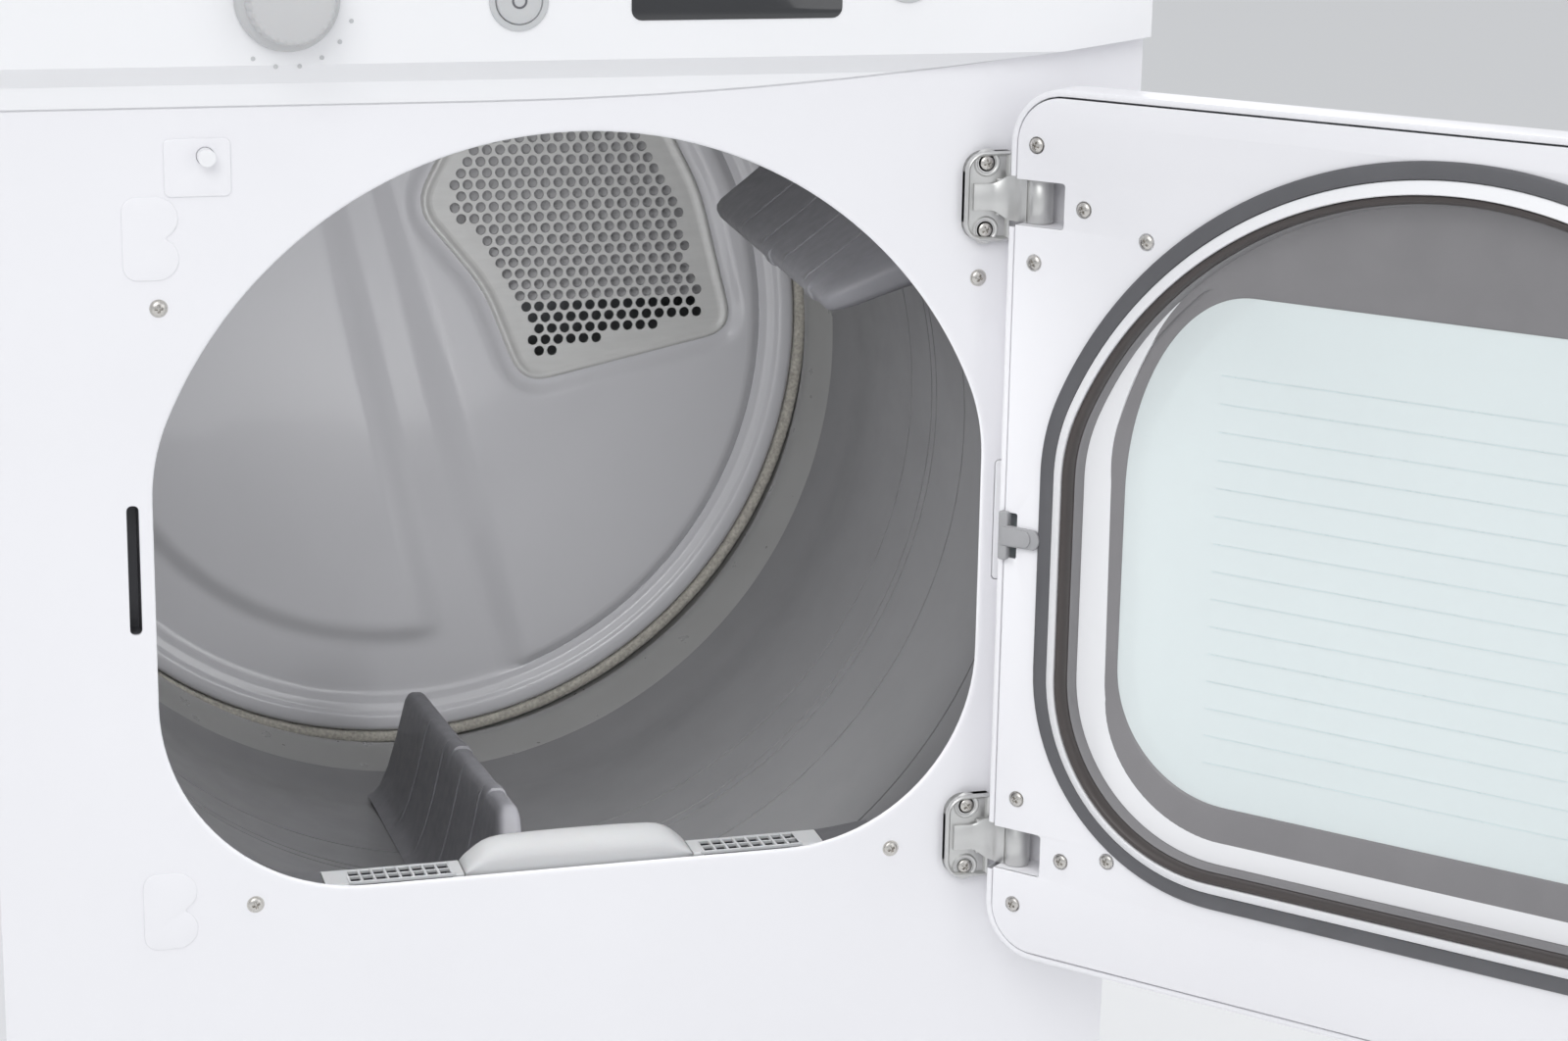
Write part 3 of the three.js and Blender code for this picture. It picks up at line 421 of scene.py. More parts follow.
def plate(outline, holes, y0, y1, edge=0.0):
    """A flat plate in X and Z between y0 and y1, with holes and with edges rounded by edge."""
    curve = bpy.data.curves.new("outline", "CURVE")
    curve.dimensions = "2D"
    curve.fill_mode = "BOTH"
    curve.extrude = (y1 - y0) / 2 - edge
    curve.bevel_depth = edge
    curve.offset = -edge
    curve.bevel_resolution = 2
    for points in [outline, *holes]:
        spline = curve.splines.new("POLY")
        spline.points.add(len(points) - 1)
        for point, (x, z) in zip(spline.points, points):
            point.co = (x, z, 0, 1)
        spline.use_cyclic_u = True
    carrier = bpy.data.objects.new("outline", curve)
    bpy.context.scene.collection.objects.link(carrier)
    mesh = bpy.data.meshes.new_from_object(carrier)
    bm = bmesh.new()
    bm.from_mesh(mesh)
    bpy.data.objects.remove(carrier)
    bpy.data.curves.remove(curve)
    bpy.data.meshes.remove(mesh)
    middle = (y0 + y1) / 2
    for vertex in bm.verts:
        x, z, depth = vertex.co
        vertex.co = (x, middle - depth, z)
    return bm


def block(x, y, z, edge=1.0, radius=None):
    """A rounded block between pairs of limits; radius rounds its outline seen along Y."""
    corner = edge if radius is None else radius
    return plate(rounded(x[0], x[1], z[0], z[1], max(corner, edge * 1.01), 5), [], y[0], y[1], edge)


def join(*parts):
    """One bmesh holding all the given ones."""
    whole = parts[0]
    for part in parts[1:]:
        mesh = bpy.data.meshes.new("part")
        part.to_mesh(mesh)
        part.free()
        whole.from_mesh(mesh)
        bpy.data.meshes.remove(mesh)
    return whole


def softened_polygon(corners, radius, steps=6):
    """A polygon with its corners rounded."""
    points = []
    count = len(corners)
    for i in range(count):
        before, here, after = (Vector(corners[(i + k) % count]) for k in (-1, 0, 1))
        start = here + (before - here).normalized() * min(radius, (before - here).length / 2)
        end = here + (after - here).normalized() * min(radius, (after - here).length / 2)
        for step in range(steps + 1):
            t = step / steps
            point = start * (1 - t) ** 2 + here * 2 * t * (1 - t) + end * t * t
            points.append((point.x, point.y))
    return points


def offset(points, distance):
    """A counter-clockwise outline moved outwards."""
    moved = []
    count = len(points)
    for i, (x, z) in enumerate(points):
        ahead = points[(i + 1) % count]
        behind = points[i - 1]
        dx, dz = ahead[0] - behind[0], ahead[1] - behind[1]
        length = math.hypot(dx, dz) or 1
        moved.append((x + dz / length * distance, z - dx / length * distance))
    return moved


def outline_ring(points, profile):
    """A ring round any outline; profile lists (distance outwards, y)."""
    return loft([at_depth(offset(points, d), y) for d, y in profile], close=True)


def smooth_step(value, low, high):
    """0 below low and 1 above high, with a smooth rise between them."""
    t = min(1.0, max(0.0, (value - low) / (high - low)))
    return t * t * (3 - 2 * t)


# ------------------------------------------------------------ screws


def screw_mesh(radius):
    """A pan head with a cross recess, its axis along -Y and its seat at the origin."""
    rings, around = 20, 64
    rows = []
    for ring in range(rings + 1):
        share = ring / rings
        row = []
        for i in range(around):
            turn = 2 * math.pi * i / around
            x, z = share * radius * math.cos(turn), share * radius * math.sin(turn)
            height = 0.45 * radius * math.sqrt(max(0.0, 1 - (0.93 * share) ** 2))
            across, along = min(abs(x), abs(z)), max(abs(x), abs(z))
            recess = (1 - smooth_step(across, 0.12 * radius, 0.17 * radius)) * (
                1 - smooth_step(along, 0.5 * radius, 0.56 * radius)
            )
            row.append((x, -height + recess * 0.42 * radius, z))
        rows.append(row)
    rows.append([(x, 0.0, z) for x, _, z in rows[-1]])
    rows.append([(x * 1.22, 0.0, z * 1.22) for x, _, z in rows[-1]])
    rows.append([(x, 0.35, z) for x, _, z in rows[-1]])
    bm = loft(rows)
    bmesh.ops.remove_doubles(bm, verts=bm.verts, dist=1e-3)
    bmesh.ops.contextual_create(bm, geom=[e for e in bm.edges if e.is_boundary])
    bmesh.ops.recalc_face_normals(bm, faces=bm.faces)
    mesh = bpy.data.meshes.new("cross_head_screw")
    bm.to_mesh(mesh)
    bm.free()
    mesh.shade_smooth()
    mesh.set_sharp_from_angle(angle=math.radians(50))
    mesh.materials.append(SCREW_STEEL)
    return mesh


SCREW = screw_mesh(4.2)


def add_screw(name, x, y, z, body="cabinet", facing=(0, -1, 0)):
    """A screw seated at (x, y, z) that looks along facing, turned as its place decides."""
    piece = bpy.data.objects.new(name, SCREW)
    twist = Matrix.Rotation(math.radians((x * 13 + z * 7) % 90), 4, "Y")
    aim = Vector((0, -1, 0)).rotation_difference(Vector(facing)).to_matrix().to_4x4()
    piece.matrix_world = place_of(body) @ Matrix.Translation((x, y, z)) @ aim @ twist
    bpy.context.scene.collection.objects.link(piece)
    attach(piece, body)


# ------------------------------------------------------------ cabinet front

SEAM_Z = 254.5
LATCH_X = 261  # the latch slots' distance from the middle
SWITCH_X, SWITCH_Z, SWITCH_HOLE = -215, 227.5, 5.05


def seam(x):
    """Height of the front panel's top edge, which sweeps up to the right."""
    along = max(0, x + 60) / 197
    return SEAM_Z + 7.4 * along * along


def seam_points(drop):
    """The seam from right to left, lowered by drop."""
    reaches = [HALF_WIDTH * (1 - 2 * i / 40) for i in range(41)]
    return [(x, seam(x) - drop) for x in reaches]


def add_front_panel():
    outline = [(-HALF_WIDTH, PANEL_BOTTOM), (HALF_WIDTH, PANEL_BOTTOM), *seam_points(0.5)]
    slots = [rounded(s * LATCH_X - 3.5, s * LATCH_X + 3.5, -46, 30, 3, 4) for s in (-1, 1)]
    switch_hole = circle(SWITCH_X, SWITCH_Z, SWITCH_HOLE)
    sheet = plate(outline, [opening(3.2), *slots, switch_hole], 0, 2)
    rim = outline_ring(outline, [(0, 0), (0, 2), (0, 14), (-1, 14), (-1, 2)])
    lip_profile = [(3.2, 0), (1.6, 0.1), (0.9, 0.35), (0.35, 0.8), (0.05, 1.4), (0, 2.0),
                   (0.3, 2.6), (0.9, 3.0), (3.2, 3.0)]
    skin = join(sheet, opening_ring(lip_profile), rim)
    piece = make("front_panel_skin", skin, "white_enamel", stands_for=["front_panel"])
    piece.data.set_sharp_from_angle(angle=math.radians(20))
    filler = loft([[(x, 0.7, z - 0.5), (x, 2.2, z - 0.5), (x, 2.2, z + 0.9), (x, 0.7, z + 0.9)]
                   for x, z in seam_points(0.0)], caps=True)
    make("seam_filler", filler, "white_plastic")
    switch_pad = plate(rounded(-238, -201, 205, 237.4, 3.5), [switch_hole], -1.2, 0.1, 0.6)
    make("door_switch_pad", switch_pad, "white_enamel")
    for cusp, label in ((-215, "lower"), (182, "upper")):
        lobes = (arc(-243, cusp - 11.4, 12, -math.pi / 2, 1.1, 10)
                 + arc(-243, cusp + 11.4, 12, -1.1, math.pi / 2, 10)
                 + arc(-254, cusp + 15.4, 8, math.pi / 2, math.pi, 6)
                 + arc(-254, cusp - 15.4, 8, math.pi, 3 * math.pi / 2, 6))
        pad = plate(lobes, [], -0.9, 0.1, 0.4)
        make(f"hinge_seat_cover_{label}", pad, "white_enamel")
    for i, (x, z) in enumerate(((197, -215.4), (-197, -215.4), (243, 142.7), (-243, 142.7))):
        add_screw(f"front_screw_{i}", x, -0.2, z)


def add_latch_cover():
    """The strip that blanks the unused latch slot on the hinge side."""
    strip = block((LATCH_X - 2.8, LATCH_X + 2.8), (-0.4, 4), (-45.3, 29.3), 0.4, 2.4)
    clip = block((LATCH_X - 7, LATCH_X + 7), (2.4, 5), (-50, 34), 0.5)
    make("latch_slot_cover", join(strip, clip), "white_plastic",
         stands_for=["latch_blank"])


def middle_of(node):
    """X and Z of the middle of a CAD node."""
    low, high = box_mm(node)
    return (low.x + high.x) / 2, (low.z + high.z) / 2


def add_display():
    front = CONSOLE_FRONT
    window = block((25, 150), (front - 0.6, front + 0.4), (300, 334), 0.25, 6)
    make("display_window", window, "clear_glass", look=DISPLAY_BLACK)
    for i in range(4):
        left = 36 + 26 * i
        key = block((left, left + 18), (front - 1.2, front + 0.2), (340, 348), 0.5, 4)
        make(f"option_key_{i}", key, "light_plastic")


def add_cycle_knob():
    """The fluted knob in its ring of marks, of which the middle one is a lamp."""
    front = CONSOLE_FRONT
    kx, kz = middle_of("cycle_knob")
    for i in range(13):
        turn = math.radians(120 - 20 * i)
        dot = plate(circle(kx + 38 * math.cos(turn), kz + 38 * math.sin(turn), 1.3, 12), [],
                    front - 0.35, front + 0.2, 0.1)
        look = LAMP_WHITE if i == 6 else None
        make(f"cycle_mark_{i}", dot, "light_plastic", look=look)
    profile = [(0, front - 27), (20, front - 27), (22.5, front - 26), (24, front - 23.5),
               (24.6, front - 10), (27, front - 8.6), (28.4, front - 7.4), (29, front - 5),
               (29, front - 0.5), (0, front - 0.5)]
    rows = []
    flutes = 30
    for radius, y in profile:
        row = []
        for i in range(flutes * 6):
            turn = 2 * math.pi * i / (flutes * 6)
            grip = front - 26 < y < front - 9
            dent = 0.7 * max(0.0, math.cos(turn * flutes)) if grip else 0.0
            reach = max(radius - dent, 0.001)
            row.append((kx + reach * math.cos(turn), y, kz + reach * math.sin(turn)))
        rows.append(row)
    shaft = plate(circle(kx, kz, 4.5), [], front - 8, 10, 0.3)
    make("cycle_knob_cap", join(loft(rows), shaft), "light_plastic", "knob",
         stands_for=["cycle_knob"], angle=40)
    pointer = block((kx - 1.1, kx + 1.1), (front - 27.5, front - 26.8), (kz + 8, kz + 20), 0.2, 1)
    make("cycle_knob_pointer", pointer, "dark_plastic", "knob")


def add_buttons():
    front = CONSOLE_FRONT
    for node, body in (("power_button", "power_key"), ("start_button", "start_key")):
        bx, bz = middle_of(node)
        bezel = plate(circle(bx, bz, 17, 48), [circle(bx, bz, 13.5, 48)], front - 1.4,
                      front + 0.3, 0.5)
        make(f"{node}_bezel", bezel, "light_plastic")
        dish = [(0.001, front - 2.3), (6, front - 2.5), (11, front - 3.0), (12.4, front - 2.6),
                (13, front - 1.6), (13, front + 4), (15.4, front + 4), (15.4, front + 6),
                (0.001, front + 6)]
        rows = [at_depth(circle(bx, bz, radius, 48), y) for radius, y in dish]
        make(f"{node}_cap", loft(rows), "light_plastic", body, stands_for=[node], angle=40)
        mark = plate(circle(bx, bz, 4.4, 24), [circle(bx, bz, 3.2, 24)], front - 2.7, front - 2.0,
                     0.1)
        make(f"{node}_mark", mark, "dark_plastic", body)


# ------------------------------------------------------------ drum


DRUM_RADIUS = 317
GROOVES = (108, 218, 275, 285, 328)
BAND_START = 507


def add_drum():
    """The wall with its fine rolled lines, and the rolled band at its rear, drawn in a lighter grey than the wall
    as painted highlight.
    """
    wall, bottom = DRUM_RADIUS, DRUM_RADIUS + 2
    inner = [(317.6, DRUM_FRONT), (wall, DRUM_FRONT + 1)]
    for groove in GROOVES:
        inner += [(wall, groove - 0.9), (bottom, groove - 0.5), (bottom, groove + 0.5),
                  (wall, groove + 0.9)]
    inner += [(317, 395), (317.4, 408), (318.6, 428), (320.2, 448), (320.8, 460), (320.4, 470),
              (318.4, 484), (316.2, 497), (315, BAND_START)]
    outer = [(322, BAND_START), (322, 405), (320, 390), (320, DRUM_FRONT + 1), (318.4, DRUM_FRONT)]
    make("drum_wall", lathe(inner + outer, 220), "drum_grey", "drum", stands_for=["drum_shell"],
         angle=24)
    start = BAND_START + 0.2
    band = [(315, start), (314, 513), (312, 521), (309.4, 530), (307.4, 538), (306.6, 545),
            (306.8, 551), (308.4, 558), (311.6, 566), (315.2, 574), (318.4, 582), (321, 589),
            (323.1, 595), (324, 598), (324, 608), (324.6, DRUM_REAR), (326, DRUM_REAR),
            (325.8, 596), (324.6, 584), (322.4, 572), (322, 560), (322, start)]
    # the band's lighter grey is a painted highlight on the same steel as the wall
    make("drum_rear_band", lathe(band, 260), "drum_grey", "drum", angle=60, look=BAND_PAINTED_HIGHLIGHT)
    weld = block((-4, 4), (316.6, 317.4), (60, 545), 0.3)
    weld.transform(Matrix.Rotation(math.radians(62), 4, "Y") @ Matrix(
        ((1, 0, 0, 0), (0, 0, 1, 0), (0, -1, 0, 0), (0, 0, 0, 1))))
    make("drum_weld_strip", weld, "drum_grey", "drum")


LIFTER_FRONT, LIFTER_REAR, LIFTER_SEAT = 92, 455, 316
LIFTER_RIBS = (190, 250, 310, 370)
LIFTER_CLIPS = (182, 292)
RIDGE_FRONT, RIDGE_REAR = 217, 236


def lifter_row(y):
    """One section of a lifter: (distance from the axis, across) round its outline."""
    if y < 140:
        ridge = 292 + (RIDGE_FRONT - 292) * smooth_step(y, LIFTER_FRONT, 142)
    else:
        ridge = RIDGE_FRONT + (RIDGE_REAR - RIDGE_FRONT) * (y - 140) / 315
    height = LIFTER_SEAT - ridge
    rib = sum(1 for at in LIFTER_RIBS if abs(y - at) < 1.6)
    clip = 1.6 if any(abs(y - at) < 7 for at in LIFTER_CLIPS) else 0.0
    half = [(0.0, 31.5), (0.015, 31.5), (0.05, 27), (0.12, 22.5), (0.3, 17.5), (0.55, 13),
            (0.8, 9.5), (0.93, 7.6), (0.98, 5.6), (1.0, 3.0)]
    side = []
    for share, across in half:
        reach = LIFTER_SEAT - share * height - (clip if share > 0.9 else 0)
        foot = math.sqrt(max(0.0, 316.2**2 - across**2))
        swell = 0.9 * rib if 0.08 < share < 0.95 else 0.0
        side.append((min(reach, foot), across + swell))
    return side + [(r, -a) for r, a in reversed(side)]


def add_lifter(node, angle):
    stations = [LIFTER_FRONT, 96, 102, 108, 115, 122, 130, 136, 140, 146]
    stations += [y for at in LIFTER_RIBS for y in (at - 1.8, at - 1.2, at + 1.2, at + 1.8)]
    stations += [y for at in LIFTER_CLIPS for y in (at - 7.4, at - 6.6, at + 6.6, at + 7.4)]
    stations += list(range(152, 450, 12)) + [450, 453.5, LIFTER_REAR]
    cosine, sine = math.cos(angle), math.sin(angle)
    rows = []
    for y in sorted(set(stations)):
        inset = 0.0 if y < 453 else (y - 452) * 0.5
        rows.append(
            [
                (cosine * (r + inset) - sine * a, y, sine * (r + inset) + cosine * a)
                for r, a in lifter_row(y)
            ]
        )
    make(f"{node}_moulding", loft(rows, caps=True), "dark_plastic", "drum", stands_for=[node],
         angle=38)


def add_lifters():
    for node in ("drum_lifter_bottom", "drum_lifter_right", "drum_lifter_left"):
        x, z = middle_of(node)
        angle = math.atan2(z, x)
        add_lifter(node, math.radians(round(math.degrees(angle) / 2) * 2))


# ------------------------------------------------------------ rear bulkhead and hot-air inlet

INLET = softened_polygon(
    [(98, -40), (262, -5), (234, 104), (198, 172), (122, 196), (50, 160), (17, 98), (69, 34)], 20
)
DISH_FLOOR, PLATEAU = 612, 604
RIM_RADIUS = 312.4


def distance_to(points, x, z):
    """Distance from a point to an outline, negative inside it."""
    best = 1e9
    inside = False
    for (ax, az), (bx, bz) in zip(points, points[1:] + points[:1]):
        dx, dz = bx - ax, bz - az
        length = dx * dx + dz * dz or 1e-9
        t = min(1.0, max(0.0, ((x - ax) * dx + (z - az) * dz) / length))
        best = min(best, math.hypot(x - ax - t * dx, z - az - t * dz))
        if (az > z) != (bz > z) and x < ax + (z - az) / (bz - az) * dx:
            inside = not inside
    return -best if inside else best


def across_line(x, z, start, end):
    """Signed distance of (x, z) to the right of the line from start down to end."""
    dx, dz = end[0] - start[0], end[1] - start[1]
    return -((x - start[0]) * dz - (z - start[1]) * dx) / math.hypot(dx, dz)


def dish_depth(x, z):
    """Depth of the pressed bulkhead: two raised fields either side of a slanting valley."""
    radius = math.hypot(x, z)
    left = across_line(x, z, (-53, 113), (25, -235))
    right = across_line(x, z, (-9, 112), (87, -239))
    left_field = smooth_step(-left, -16, 14) * smooth_step(236 - radius, -12, 9)
    right_field = smooth_step(right, -16, 14) * smooth_step(284 - radius, -7, 6)
    y = DISH_FLOOR - (DISH_FLOOR - PLATEAU) * max(left_field, right_field)
    if -60 < x < 300 and -80 < z < 240:
        gap = distance_to(INLET, x, z)
        y += 4.0 * smooth_step(17 - gap, 0, 11)
    return y


def add_bulkhead():
    around = 320
    rows = [[(x, dish_depth(x, z), z) for x, z in circle(0, 0, 3.4 * k, around)]
            for k in range(1, 84)]
    rim = [(287, 611), (289, 609.6), (291.5, 606.6), (293, 605.6), (297, 605.2), (299, 604.4),
           (300.5, 602.8), (302, 602.0), (309, 601.6), (311, 602.4), (RIM_RADIUS, 604),
           (RIM_RADIUS + 0.2, 608), (RIM_RADIUS + 0.2, 627)]
    for radius, y in rim:
        rows.append(at_depth(circle(0, 0, radius, around), y))
    bm = loft(rows)
    centre = bm.verts.new((0, dish_depth(0, 0), 0))
    bm.verts.ensure_lookup_table()
    for i in range(around):
        bm.faces.new((bm.verts[i], bm.verts[(i + 1) % around], centre))
    opened = []
    for face in bm.faces:
        middle = face.calc_center_median()
        if distance_to(INLET, middle.x, middle.z) < -12:
            opened.append(face)
    bmesh.ops.delete(bm, geom=opened, context="FACES")
    back = plate(rounded(-338, 338, -340, 330, 20), [circle(0, 0, RIM_RADIUS, 160)], 626, 628)
    piece = make("rear_bulkhead_dish", join(bm, back), "bulkhead_grey",
                 stands_for=["rear_bulkhead"], angle=50)
    thickness = piece.modifiers.new("sheet", "SOLIDIFY")
    thickness.thickness = 0.8 * MM
    thickness.offset = 1


def add_inlet():
    """The perforated plate, its raised frame and the sloping baffle seen through the holes."""
    face = PLATEAU + 1.6
    pitch, hole = 10.0, 3.9
    holes = []
    row_gap = pitch * math.sqrt(3) / 2
    for row in range(-6, 26):
        shift = pitch / 2 if row % 2 else 0
        for column in range(-2, 30):
            x, z = column * pitch + shift, row * row_gap
            if distance_to(INLET, x, z) < -17.5:
                holes.append(circle(x, z, hole, 20))
    sheet = plate(offset(INLET, -4), holes, face, face + 1.2)
    make("inlet_perforated_plate", sheet, "stainless_steel",
         stands_for=["inlet_grille"])
    baffle = loft([[(-20, 618, 20), (285, 618, 20), (285, 620, 20), (-20, 620, 20)],
                   [(-20, face + 9, 228), (285, face + 9, 228), (285, face + 11, 228),
                    (-20, face + 11, 228)]], caps=True)
    make("inlet_baffle", baffle, "galvanised", look=PLUG_GREY)
    frame_profile = [(3.4, face + 3.4), (3.0, face + 0.6), (2.0, face - 0.9), (0.6, face - 1.5),
                     (-1.0, face - 1.3), (-2.4, face - 0.5), (-4.0, face - 0.05),
                     (-6.5, face + 0.02), (-6.5, face + 1.4)]
    make("inlet_frame", outline_ring(INLET, frame_profile), "stainless_steel", angle=60)


def add_felts():
    rough = random.Random(7)
    profile = [(314.6, 606), (315.2, 603.6), (316.6, 602.4), (318.6, 601.8), (321, 602),
               (322.6, 603), (323.1, 605), (323.1, 621), (314.6, 621)]
    bm = lathe(profile, 420)
    for vertex in bm.verts:
        fuzz = noise.noise(vertex.co * 0.35) * 0.7 + rough.uniform(-0.25, 0.25)
        if vertex.co.y < 605:
            vertex.co.y += fuzz
    make("felt_ring", bm, "felt", stands_for=["rear_felt_seal"], angle=80)


# ------------------------------------------------------------ lint filter

VENT_START, VENT_PITCH, VENT_BAR = 77.4, 7.75, 1.6
COVER_TOP, COVER_FRONT, COVER_REAR = -209, 4.6, 26.2


def cover_top(x):
    """The cover's ends rise a little beyond its vents."""
    return COVER_TOP + 4.2 * smooth_step(abs(x), 150, 200)


def cover_run(x0, x1, steps=8):
    """A stretch of the vented cover between two x's."""
    rows = []
    for i in range(steps + 1):
        x = x0 + (x1 - x0) * i / steps
        top = cover_top(x)
        rows.append([(x, y, top + up) for y, up in (
            (COVER_FRONT, -7.6), (COVER_FRONT, -0.9), (COVER_FRONT + 0.8, -0.1), (8, 0.1),
            (22, 0.9), (COVER_REAR - 1.2, 0.9), (COVER_REAR, 0.0), (COVER_REAR, -7.6))])
    return loft(rows, caps=True)


def add_filter_cover():
    """The vents each side of the filter, their wells, and the cover's plain ends, which are the same light plastic
    coloured dark as painted shade.
    """
    parts, ends = [], []
    for side in (-1, 1):
        for x0, x1 in ((71.4, 78), (139.4, 154.6)):
            parts.append(cover_run(side * x0, side * x1))
        ends.append(cover_run(side * 155.2, side * 188.6))
        for i in range(9):
            near = VENT_START + VENT_PITCH * i
            low, high = sorted((side * near, side * (near + VENT_BAR)))
            parts.append(block((low, high), (5, 25.6), (COVER_TOP - 1.4, COVER_TOP + 0.6), 0.3))
        for y0, y1 in ((COVER_FRONT, 6.2), (14, 15.2), (23, COVER_REAR)):
            low, high = sorted((side * 76, side * 141))
            parts.append(block((low, high), (y0, y1), (COVER_TOP - 1.6, COVER_TOP + 0.5), 0.3))
    make("filter_vents", join(*parts), "light_plastic", stands_for=["filter_grille"],
         angle=35)
    # the ends take a dark grey as painted shade on the light plastic
    make("filter_cover_ends", join(*ends), "light_plastic", look=CAP_PAINTED_SHADE)
    wells = []
    for low, high in ((-141, -77), (77, 141)):
        wells.append(block((low, high), (4.8, 26), (COVER_TOP - 7.9, COVER_TOP - 7.2), 0.2))
        for y0, y1 in ((4.8, 5.3), (25.5, 26)):
            wells.append(block((low, high), (y0, y1), (COVER_TOP - 7.4, COVER_TOP - 1.7), 0.1))
    make("filter_vent_wells", join(*wells), "dark_plastic")


def add_filter():
    """A smooth raised grip above the framed screen that hangs in the duct."""
    rows = []
    shoulders = [(70.6, 0.4), (70, 2.4), (68, 5.2), (65, 8.2), (61, 11.6), (57, 14.2), (52, 16),
                 (46, 16.9), (30, 17.5), (14, 17.7), (0, 17.8)]
    crown = [(-x, height) for x, height in shoulders] + shoulders[-2::-1]
    low = COVER_TOP - 0.5
    for x, height in crown:
        section = [(x, 4.8, low - 6)]
        for y, share in ((4.6, 0), (4.0, 0.16), (3.8, 0.34), (4.6, 0.52), (6.6, 0.7), (10, 0.85),
                         (14, 0.95), (18.5, 1.0), (22.5, 0.97), (25, 0.86), (26, 0.6), (26.2, 0.3),
                         (26.2, 0)):
            section.append((x, y, low + height * share))
        rows.append([*section, (x, 26.2, low - 6)])
    handle = loft(rows, caps=True)
    frame_low = box_mm("lint_filter")[0].z
    panes = [rounded(s * 32 - 26, s * 32 + 26, frame_low + 12, -226, 5) for s in (-1, 1)]
    basket = plate(rounded(-66, 66, frame_low, -208, 4), panes, 27, 36.6, 0.8)
    neck = block((-60, 60), (24, 30), (-209, -203), 0.8)
    make("filter_handle", join(handle, basket, neck), "light_plastic", "filter",
         stands_for=["lint_filter"], angle=50)
    wires = []
    for s in (-1, 1):
        for i in range(23):
            x = s * 32 - 25 + 50 * i / 22
            wires.append(block((x - 0.2, x + 0.2), (31.2, 31.8), (frame_low + 11, -225), 0.05))
        for i in range(60):
            z = frame_low + 13 - (241 + frame_low) * i / 59
            wires.append(block((s * 32 - 26, s * 32 + 26), (31.0, 31.5), (z - 0.2, z + 0.2), 0.05))
    make("filter_screen", join(*wires), "steel", "filter")


# ------------------------------------------------------------ hinges


def swept(path, width, thickness, z):
    """A strip of sheet that follows a path in X and Y, width tall round height z."""
    rows = []
    for i, (x, y) in enumerate(path):
        ahead = Vector(path[min(i + 1, len(path) - 1)])
        behind = Vector(path[max(i - 1, 0)])
        along = (ahead - behind).normalized()
        nx, ny = -along.y * thickness / 2, along.x * thickness / 2
        half = width[i] / 2
        soft = min(1.0, thickness * 0.3)
        rows.append(
            [
                (x + nx * 0.7, y + ny * 0.7, z - half),
                (x + nx, y + ny, z - half + soft),
                (x + nx, y + ny, z + half - soft),
                (x + nx * 0.7, y + ny * 0.7, z + half),
                (x - nx * 0.7, y - ny * 0.7, z + half),
                (x - nx, y - ny, z + half - soft),
                (x - nx, y - ny, z - half + soft),
                (x - nx * 0.7, y - ny * 0.7, z - half),
            ]
        )
    return loft(rows, caps=True)


def curve_through(points, steps=6):
    """A smooth path through points."""
    path = []
    count = len(points)
    for i in range(count - 1):
        p0, p1, p2, p3 = (Vector(points[min(max(i + k, 0), count - 1)]) for k in (-1, 0, 1, 2))
        for step in range(steps):
            t = step / steps
            path.append(tuple(
                0.5 * (2 * p1 + (p2 - p0) * t + (2 * p0 - 5 * p1 + 4 * p2 - p3) * t * t
                       + (3 * p1 - p0 - 3 * p2 + p3) * t**3)))
    path.append(tuple(points[-1]))
    return path


HINGE_SCREW_X = 244.35
HINGE_SCREW = 20  # each hinge screw's distance from its hinge's middle height


def hinge_plate(z):
    """A hinge's seat: round corners towards the opening, nearly square ones at the door."""
    x0, x1, half, corner, square = 231, 260, 27, 12, 1.6
    quarter = math.pi / 2
    return (arc(x1 - square, z - half + square, square, -quarter, 0, 3)
            + arc(x1 - square, z + half - square, square, 0, quarter, 3)
            + arc(x0 + corner, z + half - corner, corner, quarter, 2 * quarter, 10)
            + arc(x0 + corner, z - half + corner, corner, 2 * quarter, 3 * quarter, 10))


def add_hinge(label, z):
    floor = -5.2
    seats = [circle(HINGE_SCREW_X, z + s * HINGE_SCREW, 6.4, 32) for s in (-1, 1)]
    base = plate(hinge_plate(z), [], floor, -0.3, 0.4)
    skirt = outline_ring(hinge_plate(z), [
        (0, -0.3), (0, -5.8), (-0.5, -7.2), (-1.4, -7.7), (-2.3, -7.2), (-3.2, floor),
        (-3.2, -0.3)])
    collar = [(-0.4, floor + 0.3), (-0.4, floor - 0.7), (0.2, floor - 1.2), (1.0, floor - 1.2),
              (2.2, floor + 0.3)]
    collars = [outline_ring(seat, collar) for seat in seats]
    px, py = PIVOT_MM.x, PIVOT_MM.y
    path = curve_through([(236, -6.3), (243, -6.6), (250, -7.6), (256, -10.4), (259.5, -15),
                          (261.6, -19.5), (264.4, -23.4)])
    width = [16 + 11 * smooth_step(x, 247, 259) for x, _ in path]
    arm = swept(path, width, 3.6, z)
    knuckle = circle(0, 0, 8, 36)
    tube = loft([[(px + x * k, py + y * k, z + h) for x, y in knuckle] for k, h in (
        (0.5, -13.5), (0.93, -13.5), (1, -13), (1, 13), (0.93, 13.5), (0.5, 13.5))], close=True)
    ribs = [block((250.5, 258), (-8.6, -5), (z + s * 9.5 - 1.6, z + s * 9.5 + 1.6), 0.7)
            for s in (-1, 1)]
    make(f"{label}_hinge_casting", join(base, skirt, *collars, arm, tube, *ribs), "zinc_plated",
         stands_for=[f"{label}_hinge_arm"], angle=50)
    for s, place in ((-1, "low"), (1, "high")):
        add_screw(f"{label}_hinge_screw_{place}", HINGE_SCREW_X, floor, z + s * HINGE_SCREW)


# ------------------------------------------------------------ door

PLUG_Z = -10  # height of the strike's and the plug's middle
DOOR_FACE = -10  # the inner face, with the door shut
DOOR_HALF, DOOR_BOTTOM, DOOR_TOP, DOOR_CORNER = 279.5, -273.5, 255.5, 28
POCKET_X, POCKET_HALF, POCKET_DEPTH = 247, 13.6, -36


